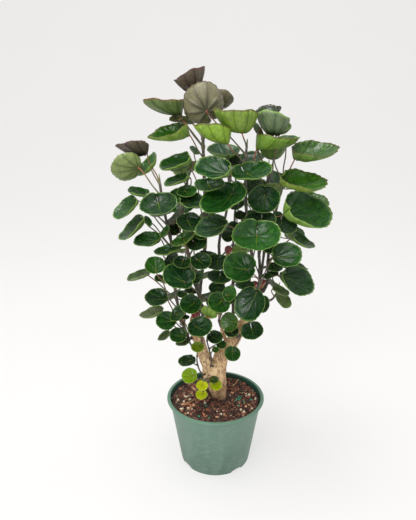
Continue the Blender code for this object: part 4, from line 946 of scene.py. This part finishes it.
def blade_from_view(leaf, depth, stem):
    """The leaf's place when its rim's centre lies at this depth."""
    centre = seen(leaf.x, leaf.y, depth)
    reach = centre - EYE
    radius = leaf.wide / 2 * reach.dot(LOOK) / FOCAL
    to_eye = -unit(reach)
    right = unit(np.cross(LOOK_UP, to_eye))
    upward = np.cross(to_eye, right)
    slant = math.radians(leaf.slant)
    major = math.cos(slant) * right + math.sin(slant) * upward
    lift = math.cos(slant) * upward - math.sin(slant) * right
    edge = math.sqrt(1 - leaf.open ** 2)
    normal = leaf.open * to_eye + edge * lift
    minor = abs(leaf.open) * lift - math.copysign(edge, leaf.open) * to_eye
    if leaf.notch is None:
        heights = stem[:, 2] + 0.012
        near = np.argmin(np.abs(heights - centre[2]))
        toward = stem[near, :3] - centre
        toward = unit(toward - toward.dot(normal) * normal)
    else:
        turn = math.radians(leaf.notch)
        toward = math.cos(turn) * major + math.sin(turn) * minor
    side = np.cross(normal, toward)
    phase = leaf.x * 0.7 + leaf.y
    return Blade(centre, normal, toward, side, radius, leaf.stalk, leaf.cup, phase, leaf.shoot, leaf.tone)


def blade_point(blade, angle, share, drop=0.0, grow=0.0):
    """A point of the blade's upper face, from the stalk (share 0) to the rim (share 1)."""
    reach = 1 + grow / blade.radius
    ahead = (1 - share) * blade.stalk + share * reach * math.cos(angle)
    across = share * reach * math.sin(angle)
    high = -blade.cup * (1 - share ** FLARE) + WAVE * share ** 2 * math.sin(3 * angle + blade.phase)
    flat = ahead * blade.toward + across * blade.side + high * blade.normal
    return blade.centre + blade.radius * flat - drop * blade.normal


def rim_angles(blade):
    """Angles of the rim points, from one side of the notch round to the other."""
    count = 11 if blade.radius > 0.014 else 8
    start = math.radians(16 if blade.radius > 0.014 else 22)
    return [start + (2 * math.pi - 2 * start) * k / (count - 1) for k in range(count)]


def inner_share(blade):
    """The share of the way to the rim at which a blade's inner point lies."""
    return (0.22 * blade.radius + 0.0005) / (blade.radius * (1 + blade.stalk))


def blade_shell(blade, margin):
    """The blade as a closed shell that is margin fatter all round."""
    slope = math.sqrt(1 + (1.3 * blade.cup) ** 2)
    points = []
    for drop in (-margin * slope, (BLADE + margin) * slope):
        points.append(blade_point(blade, math.pi, inner_share(blade), drop))
        foot = blade_point(blade, 0, 0, drop) + margin * blade.toward
        points.append(foot + (STALK_HALF + margin) * blade.side)
        for angle in rim_angles(blade):
            points.append(blade_point(blade, angle, 1, drop, margin))
        points.append(foot - (STALK_HALF + margin) * blade.side)
    half = len(points) // 2
    faces = []
    for k in range(1, half):
        after = k % (half - 1) + 1
        faces.append((0, k, after))
        faces.append((half, half + after, half + k))
        faces.append((k, half + k, half + after))
        faces.append((k, half + after, after))
    return np.array(points), faces


def tube_shell(line, radii, margin):
    """A six-sided closed tube round a line, margin fatter all round."""
    points = []
    across = np.cross(line[1] - line[0], (0.31, 0.52, 0.8))
    for k, centre in enumerate(line):
        ahead = unit(line[min(k + 1, len(line) - 1)] - line[max(k - 1, 0)])
        across = unit(across - across.dot(ahead) * ahead)
        beside = np.cross(ahead, across)
        for corner in range(6):
            turn = math.pi / 3 * corner
            spoke = math.cos(turn) * across + math.sin(turn) * beside
            points.append(centre + (radii[k] + margin) / math.cos(math.pi / 6) * spoke)
    faces = [(0, 2, 1), (0, 3, 2), (0, 4, 3), (0, 5, 4)]
    last = 6 * (len(line) - 1)
    for a, b, c in list(faces):
        faces.append((last + a, last + c, last + b))
    for ring in range(len(line) - 1):
        for corner in range(6):
            a = 6 * ring + corner
            b = 6 * ring + (corner + 1) % 6
            faces.append((a, b, b + 6))
            faces.append((a, b + 6, a + 6))
    return np.array(points), faces


class Crowd:
    """What already has its place, as shells to keep clear of."""

    def __init__(self):
        self.trees = []
        self.boxes = np.zeros((0, 6))
        self.owners = []
        self.kinds = []

    def add(self, shell, owner, kind):
        points, faces = shell
        self.trees.append(BVHTree.FromPolygons(points.tolist(), faces))
        self.boxes = np.vstack((self.boxes, np.append(points.min(axis=0), points.max(axis=0))))
        self.owners.append(owner)
        self.kinds.append(kind)

    def hits(self, shell, owner, skip):
        """A cost for what the shell runs into: 1 for its own shoot's pieces and 100 for any other."""
        points, faces = shell
        low, high = points.min(axis=0), points.max(axis=0)
        near = np.all((self.boxes[:, :3] < high) & (self.boxes[:, 3:] > low), axis=1)
        tree = None
        cost = 0
        for index in np.flatnonzero(near):
            if index in skip:
                continue
            tree = tree or BVHTree.FromPolygons(points.tolist(), faces)
            if self.trees[index].overlap(tree):
                cost += 1 if self.owners[index] == owner else 100
        return cost


def stalk_line(blade, stem, at, bow):
    """Centres of a leaf stalk, from the blade's notch down to the middle of the stem at point number at."""
    start = blade_point(blade, 0, 0, BLADE / 2)
    root = stem[at, :3]
    along = unit(stem[min(at + 1, len(stem) - 1), :3] - stem[max(at - 1, 0), :3])
    away = start - root
    length = np.linalg.norm(away)
    away = away - away.dot(along) * along
    away = away / max(np.linalg.norm(away), 1e-6)
    sway = unit(np.cross(along, away) + 1e-9)
    first = start + 0.28 * length * unit(0.55 * blade.toward - 0.84 * blade.normal) + bow * sway
    second = root + 0.42 * length * unit(0.72 * along + 0.7 * away) + bow * sway
    points = []
    for t in (0.0, 0.0021 / length, 0.34, 0.66, 1.0) if blade.radius > 0.012 else (0.0, 0.1, 0.5, 1.0):
        s = 1 - t
        points.append(s ** 3 * start + 3 * s * s * t * first + 3 * s * t * t * second + t ** 3 * root)
    points[1] = start + 0.0018 * unit(0.8 * blade.toward - 0.6 * blade.normal)
    return np.array(points)


def stalk_radii(line):
    """Half widths of a stalk: slightly thicker toward the stem."""
    return np.linspace(0.0009, 0.0012, len(line))


def route(blade, stem, crowd, skip):
    """The stalk that runs into least on its way to this stem, with its cost."""
    start = blade_point(blade, 0, 0)
    inner = range(3, len(stem) - 1)
    level = min(inner, key=lambda k: abs(stem[k, 2] - start[2]))
    reach = max(np.linalg.norm(stem[level, :2] - start[:2]), 0.008)
    best = None
    for drop in (1.0, 0.75, 1.3, 0.5, 1.7, 0.25, 2.2, 0.0, 2.8):
        at = min(inner, key=lambda k: abs(stem[k, 2] - start[2] + drop * reach))
        for bow in (0.0, 0.005, -0.005, 0.010, -0.010, 0.016, -0.016):
            line = stalk_line(blade, stem, at, bow)
            cost = crowd.hits(tube_shell(line[1:], stalk_radii(line)[1:], ROOM), blade.shoot, skip)
            if best is None or cost < best[0]:
                best = (cost, line)
            if cost == 0:
                return best
    return best


def hidden_blade(stem, name, share, turn, draw):
    """A leaf that stands out from the stem in direction turn, at this share of the stem's length."""
    at = share * (len(stem) - 1)
    low = min(int(at), len(stem) - 2)
    root = stem[low, :3] + (at - low) * (stem[low + 1, :3] - stem[low, :3])
    out = np.array((math.cos(turn), math.sin(turn), 0.0))
    length = draw.uniform(0.026, 0.052)
    radius = draw.uniform(0.012, 0.023)
    rise = draw.uniform(0.35, 0.8)
    lean = math.radians(draw.uniform(15, 55))
    foot = root + length * unit(out + rise * np.array((0.0, 0.0, 1.0)))
    normal = math.cos(lean) * np.array((0.0, 0.0, 1.0)) + math.sin(lean) * out
    toward = unit(-out - (-out).dot(normal) * normal)
    cup = draw.uniform(0.15, 0.4)
    centre = foot - 0.5 * radius * toward + cup * radius * normal
    side = np.cross(normal, toward)
    tone = draw.choice(("green", "green", "dark", "bright", "grey"))
    return Blade(centre, normal, toward, side, radius, 0.5, cup, 9 * turn, name, tone)


def shade_share(blade, crowd):
    """How much of the blade the photo's viewpoint can't see for other blades."""
    covered = 0
    for k in range(12):
        target = blade_point(blade, math.pi / 6 * k, 1, 0, 0.001)
        ray = target - EYE
        length = np.linalg.norm(ray)
        for index, kind in enumerate(crowd.kinds):
            if kind != "blade":
                continue
            if crowd.trees[index].ray_cast(EYE.tolist(), (ray / length).tolist(), length)[0]:
                covered += 1
                break
    return covered / 12


def grow():
    """Lines of all stems, and every leaf with its stalk, each clear of the others."""
    crowd = Crowd()
    for name in LIMBS:
        line = limb_line(name)
        crowd.add(tube_shell(line[:, :3], line[:, 3], 0.0003), "limb", "limb")
    stems = {name: shoot_line(shoot, crowd) for name, shoot in SHOOTS.items()}
    for name, stem in stems.items():
        crowd.add(tube_shell(stem[1:, :3], stem[1:, 3], 0.0005), name, "stem")
    for name in SEALED:
        cap = seal_line(name)
        crowd.add(tube_shell(cap[:, :3], cap[:, 3], 0.0007), "limb", "seal")
    blades = []
    slides = [0] + [sign * step for step in (4, 8, 12, 16, 20, 25, 30, 36, 42) for sign in (1, -1)]
    for leaf in LEAVES:
        best = None
        for slide in slides:
            blade = blade_from_view(leaf, leaf.depth + slide, stems[leaf.shoot])
            cost = crowd.hits(blade_shell(blade, ROOM), "", ())
            if best is None or cost < best[0]:
                best = (cost, blade)
            if cost == 0:
                break
        crowd.add(blade_shell(best[1], ROOM), leaf.shoot, "blade")
        blades.append((best[1], len(crowd.trees) - 1))
    leaves = []
    for blade, index in blades:
        names = sorted(stems, key=lambda name: name != blade.shoot and stem_distance(stems[name], blade))
        best = None
        for name in names[:4]:
            own = blade._replace(shoot=name)
            skip = (index, len(LIMBS) + list(stems).index(name))
            cost, line = route(own, stems[name], crowd, skip)
            if best is None or cost < best[0]:
                best = (cost, own, line)
            if cost < 100:
                break
        crowd.owners[index] = best[1].shoot
        crowd.add(tube_shell(best[2][1:], stalk_radii(best[2])[1:], ROOM), best[1].shoot, "stalk")
        leaves.append((best[1], best[2]))
    draw = random.Random(7)
    for name, (count, start) in HIDDEN.items():
        for k in range(count):
            for _ in range(14):
                share = start + (0.97 - start) * (k + draw.uniform(-0.3, 0.3)) / count
                turn = GOLDEN_ANGLE * k + draw.uniform(-0.9, 0.9)
                blade = hidden_blade(stems[name], name, share, turn, draw)
                if crowd.hits(blade_shell(blade, ROOM), "", ()) or shade_share(blade, crowd) < 0.75:
                    continue
                skip = (len(LIMBS) + list(stems).index(name),)
                cost, line = route(blade, stems[name], crowd, skip)
                if cost:
                    continue
                crowd.add(blade_shell(blade, ROOM), name, "blade")
                crowd.add(tube_shell(line[1:], stalk_radii(line)[1:], ROOM), name, "stalk")
                leaves.append((blade, line))
                break
    return stems, leaves


def stem_distance(stem, blade):
    """How far the blade's centre lies from the nearest point of the stem."""
    return float(np.min(np.linalg.norm(stem[:, :3] - blade.centre, axis=1)))


# Colours of the leaves' upper faces, undersides and, where they stand out, rims; a pale rim is partly
# painted glow of light through the thin edge.
# The deep tone is painted shade: a near-black copy of the green for leaves deep inside the crown.
TONES = {
    "green": (36, 102, 30), "dark": (22, 78, 36), "deep": (12, 44, 26), "grey": (44, 84, 56),
    "vivid": (48, 134, 10), "bright": (70, 132, 22), "lime": (104, 158, 20), "young": (70, 112, 36),
    "spring": (226, 242, 4), "fresh": (150, 184, 4), "khaki": (104, 124, 58), "sage": (136, 156, 96),
    "olive": (84, 108, 48), "burnt": (78, 100, 40), "maroon": (40, 40, 30), "purple": (62, 44, 42),
    "bronze": (88, 78, 54),
}
BELLIES = {
    "green": (112, 152, 44), "dark": (90, 130, 50), "deep": (66, 100, 44), "grey": (84, 112, 78),
    "vivid": (116, 162, 34), "bright": (130, 164, 44), "lime": (126, 168, 26), "young": (98, 138, 44),
    "spring": (214, 236, 6), "fresh": (160, 200, 20), "khaki": (116, 136, 76), "sage": (148, 166, 112),
    "olive": (108, 130, 68), "burnt": (84, 110, 44), "maroon": (58, 50, 44), "purple": (78, 58, 56),
    "bronze": (128, 114, 84),
}
EDGES = {
    "lime": (96, 92, 36), "young": (92, 84, 40), "burnt": (116, 78, 40), "bright": (112, 112, 48),
    "maroon": (66, 32, 34), "purple": (96, 66, 62), "bronze": (96, 72, 60), "olive": (128, 140, 84),
    "spring": (210, 222, 90), "fresh": (150, 180, 60),
}
# Pale rim line: the margin's paler colour together with painted glow of light through the thin edge.
PALE_EDGE_AND_GLOW = (128, 160, 70)
RED_TIP = (214, 92, 40)


def vein_turn(blade, along):
    """Where a spoke lies in the fan of veins, which isn't quite even."""
    slow = 0.010 * math.sin(12.566 * along + blade.phase)
    return along + slow + 0.006 * math.sin(18.85 * along + 2 * blade.phase)


def fine_point(blade, along, share):
    """A point of the fine blade: a bowl that turns up at its rim, round shouldered beside the notch,
    with a scalloped edge, soft folds between its veins and a slow ruffle."""
    closed = blade.cup > 0.55
    slit = 0.02 if closed else 0.14 if blade.stalk < 0.45 else 0.05
    start = rim_angles(blade)[0] * slit
    angle = start + (math.tau - 2 * start) * along
    beside = min(along, 1 - along) * math.tau
    shoulder = 0.0 if closed else 0.15 * (1 - min(beside / 0.32, 1.0)) ** 2
    edge = max(share - 0.55, 0.0) / 0.45
    teeth = 0.5 + 0.5 * math.cos(angle * 21 + blade.phase)
    if blade.tone in EDGES:
        teeth *= 1.2 if blade.tone in ("olive", "bronze") else 2.4
    uneven = 0.02 * math.sin(2 * angle + 2.3 * blade.phase) + 0.014 * math.sin(5 * angle + blade.phase)
    grow = blade.radius * (uneven * edge - shoulder * edge - (0.006 + 0.030 * teeth) * edge ** 2)
    bowl = blade.cup * (share ** FLARE - share ** 2.5)
    curl = 0.05 * max(share - 0.8, 0.0) ** 2 / 0.04
    ribs = abs(math.sin(4 * math.tau * vein_turn(blade, along)))
    deep = 0.11 if blade.tone in ("purple", "bronze", "maroon") or blade.cup > 0.9 else 0.034
    folds = deep * (1 - ribs) ** 2 * math.sin(math.pi * min(share * 1.08, 1.0))
    ruffle = 0.022 * math.sin(7 * angle + 1.7 * blade.phase) * share ** 3
    return blade_point(blade, angle, share, blade.radius * (folds + bowl - ruffle - curl), grow)


SHEET = 0.00055


def fine_blade(blade, dice):
    """A blade as a fine sheet with thickness; its spokes and its tint ride on it as layers."""
    bm = bmesh.new()
    spokes, steps = (84, 11) if blade.radius > 0.014 else (50, 8)
    bmesh.ops.create_grid(bm, x_segments=spokes, y_segments=steps, size=0.5)
    spans = {}
    for vertex in bm.verts:
        along = vertex.co.x + 0.5
        share = (vertex.co.y + 0.5) ** 0.85
        spans[vertex] = (vein_turn(blade, along), share)
        vertex.co = fine_point(blade, along, share)
    bmesh.ops.remove_doubles(bm, verts=bm.verts[:], dist=1e-6)
    bmesh.ops.reverse_faces(bm, faces=bm.faces[:])
    bm.normal_update()
    grain = bm.loops.layers.uv.new("spokes")
    for face in bm.faces:
        turns = [spans[loop.vert][0] for loop in face.loops if spans[loop.vert][1] > 0.001]
        for loop in face.loops:
            along, share = spans[loop.vert]
            loop[grain].uv = (along if share > 0.001 else sum(turns) / len(turns), share)
    under = bm.verts.layers.float.new("under")
    tint = bm.verts.layers.float_color.new("tint")
    size = bm.verts.layers.float.new("size")
    margin = bm.verts.layers.float_color.new("margin")
    upper = set(bm.verts)
    bmesh.ops.solidify(bm, geom=bm.faces[:], thickness=SHEET)
    warm, light = dice.uniform(-0.10, 0.10), dice.uniform(0.78, 1.3)
    for vertex in bm.verts:
        vertex[under] = 0.0 if vertex in upper else 1.0
        red, green, blue = colour(*(TONES if vertex in upper else BELLIES)[blade.tone])
        vertex[tint] = (red * light * (1 + warm), green * light, blue * light * (1 - warm), 1.0)
        vertex[size] = blade.radius * 100
        vertex[margin] = (*colour(*EDGES.get(blade.tone, PALE_EDGE_AND_GLOW)), 1.0)
    return bm


leaf = Finish("leaf", 0.34, Specular_IOR_Level=0.5)
spokes = leaf.add("ShaderNodeUVMap", {"uv_map": "spokes"})["UV"]
parts = leaf.add("ShaderNodeSeparateXYZ", None, {"Vector": spokes})
along, share = parts["X"], parts["Y"]
tint = leaf.add("ShaderNodeAttribute", {"attribute_name": "tint"})["Color"]
under = leaf.add("ShaderNodeAttribute", {"attribute_name": "under"})["Fac"]
size = leaf.add("ShaderNodeAttribute", {"attribute_name": "size"})["Fac"]
margin = leaf.add("ShaderNodeAttribute", {"attribute_name": "margin"})["Color"]
mottle = leaf.noise(150.0, 3.0)
cells = leaf.noise(1400.0, 2.0)
sector = (along * 8.0 + 0.5).math("FRACT")
near = abs(sector - 0.5)
wide = near * share * size * 0.8
main_vein = wide.between(0.050, 0.010)
# Mask along the main veins, for their darker colour and the painted shade of the pleats on the underside.
vein_line_and_pleat_shade = wide.between(0.100, 0.020)
# Mask for the painted highlight on the pleats between the veins.
pleat_highlight = near.between(0.08, 0.42)
speckle = leaf.noise(420.0, 3.0)
herring = (share * 9.0 - near * 3.4 + (along * 8.0 + 0.5).math("FLOOR") * 0.37).math("FRACT")
side_vein = abs(herring - 0.5).between(0.07, 0.0) * near.between(0.0, 0.06)
midrib = (abs(along - 0.5) * 6.28 * share * size).between(0.085, 0.015)
heart = share.between(0.75, 0.0)
rim = share.between(0.95, 0.985)
fresh = leaf.add("ShaderNodeSeparateColor", None, {"Color": tint})["Green"].between(0.45, 0.75)
dark = leaf.mix(0.66 - fresh * 0.5, tint, colour(3, 27, 14))
light = leaf.mix(0.3, tint, colour(92, 150, 30))
tone = leaf.mix(mottle.between(0.3, 0.95), dark, light)
# Painted shade: the upper face darkens toward the stalk, down in the bowl.
tone = leaf.mix(share.between(0.95, 0.4) * 0.55, tone, dark)
tone = leaf.mix(speckle.between(0.42, 0.66) * 0.3, tone, dark)
tone = leaf.mix(side_vein * 0.3, tone, light)
tone = leaf.mix(main_vein * 0.26, tone, colour(120, 158, 66))
tone = leaf.mix(midrib * heart * 0.75, tone, colour(128, 158, 28))
# The rim line: the margin's colour, which where it is pale also paints the glow of light through the edge.
tone = leaf.mix(rim * 0.6, tone, margin)
shade = leaf.mix(0.62, tint, colour(24, 44, 14))
below = leaf.mix(mottle.between(0.38, 0.64) * 0.55, tint, shade)
# Painted highlight: the underside is lighter on the pleats between the veins.
below = leaf.mix(pleat_highlight * 0.25, below, leaf.mix(0.3, tint, colour(214, 222, 160)))
below = leaf.mix(speckle.between(0.46, 0.62) * 0.35, below, shade)
below = leaf.mix(cells.between(0.42, 0.62) * 0.25, below, leaf.mix(0.4, tint, colour(206, 210, 160)))
# Painted shade: the underside darkens toward the stalk.
below = leaf.mix(share.between(0.6, 0.0) * 0.55, below, shade)
# The underside goes darker along its main veins: partly their own colour, partly painted shade of the pleats.
below = leaf.mix(vein_line_and_pleat_shade * 0.75, below, shade)
below = leaf.mix(side_vein * 0.55, below, shade)
below = leaf.mix(rim * 0.85, below, margin)
tone = leaf.mix(under, tone, below)
leaf.drive(Base_Color=tone, Roughness=mottle * 0.2 + under * 0.25 + 0.15)
leaf.bump(main_vein * -0.8 - side_vein * 0.4 + cells * 0.2 + mottle * 0.9, 0.0008, 0.9)

stalk = Finish("green_stem", 0.5)
tint = stalk.add("ShaderNodeAttribute", {"attribute_name": "tint"})["Color"]
dash = stalk.noise(380.0, 4.0)
spots = stalk.noise(1100.0, 2.0)
tone = stalk.mix(dash.between(0.48, 0.62) * 0.6, tint, stalk.mix(0.45, tint, colour(168, 158, 154)))
tone = stalk.mix(spots.between(0.58, 0.68) * 0.5, tone, colour(190, 180, 165))
stalk.drive(Base_Color=tone, Roughness=dash * 0.2 + 0.4)
stalk.bump(dash + spots, 0.0002)

stems, leaves = grow()
dice = random.Random(5)
for name, stem in stems.items():
    rows = [smooth(stem[1::2], 6)]
    start = stem[0, :3] - 0.0022 * unit(stem[1, :3] - stem[0, :3])
    root = (np.append(start, stem[0, 3] * 1.35), np.append(stem[0, :3], stem[0, 3] * 1.2))
    rows[0] = np.vstack((*root, rows[0]))
    tints = [[(70, 62, 58)] * (len(rows[0]) - 3) + [(118, 124, 60)] * 3]
    own = [(blade, line) for blade, line in leaves if blade.shoot == name]
    for blade, line in own:
        path = smooth(line, 5)
        share = np.linspace(0, 1, len(path))
        sizes = 0.00072 + 0.0003 * share + 0.0007 * np.clip(share - 0.86, 0, 1) / 0.14
        sizes += 0.0007 * np.clip(1 - share / 0.12, 0, 1)
        rows.append(np.column_stack((path, sizes)))
        red = np.clip(1.2 - share * 1.9, 0, 1) ** 0.7
        green = np.array((104, 98, 66))
        if blade.tone in ("dark", "deep", "grey", "green"):
            green = np.array((88, 84, 64))
            red = red * 0.45
        tints.append([tuple(part * np.array(RED_TIP) * 0.9 + (1 - part) * green) for part in red])
        node = np.argmin(np.linalg.norm(rows[0][:, :3] - line[-1], axis=1))
        rows[0][node, 3] *= 1.22
    mesh = rod(name, [row[:, :3] for row in rows], [row[:, 3] for row in rows], 2)
    centres = np.vstack([row[:, :3] for row in rows])
    shades = [shade for group in tints for shade in group]
    index = KDTree(len(centres))
    for number, spot in enumerate(centres):
        index.insert(spot, number)
    index.balance()
    bm = bmesh.new()
    bm.from_mesh(mesh)
    bmesh.ops.remove_doubles(bm, verts=bm.verts[:], dist=1e-7)
    bm.loops.layers.uv.new("spokes")
    bm.verts.layers.float.new("under")
    tint = bm.verts.layers.float_color.new("tint")
    bm.verts.layers.float.new("size")
    bm.verts.layers.float_color.new("margin")
    for vertex in bm.verts:
        vertex[tint] = (*colour(*shades[index.find(vertex.co)[1]]), 1.0)
    for face in bm.faces:
        face.material_index = 1
    for blade, line in own:
        added(bm, fine_blade(blade, dice))
    bmesh.ops.recalc_face_normals(bm, faces=bm.faces[:])
    foliage = shown("leafy_" + name, bm, [leaf.material, stalk.material])
    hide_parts("shoot_" + name)
    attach(foliage, "root")
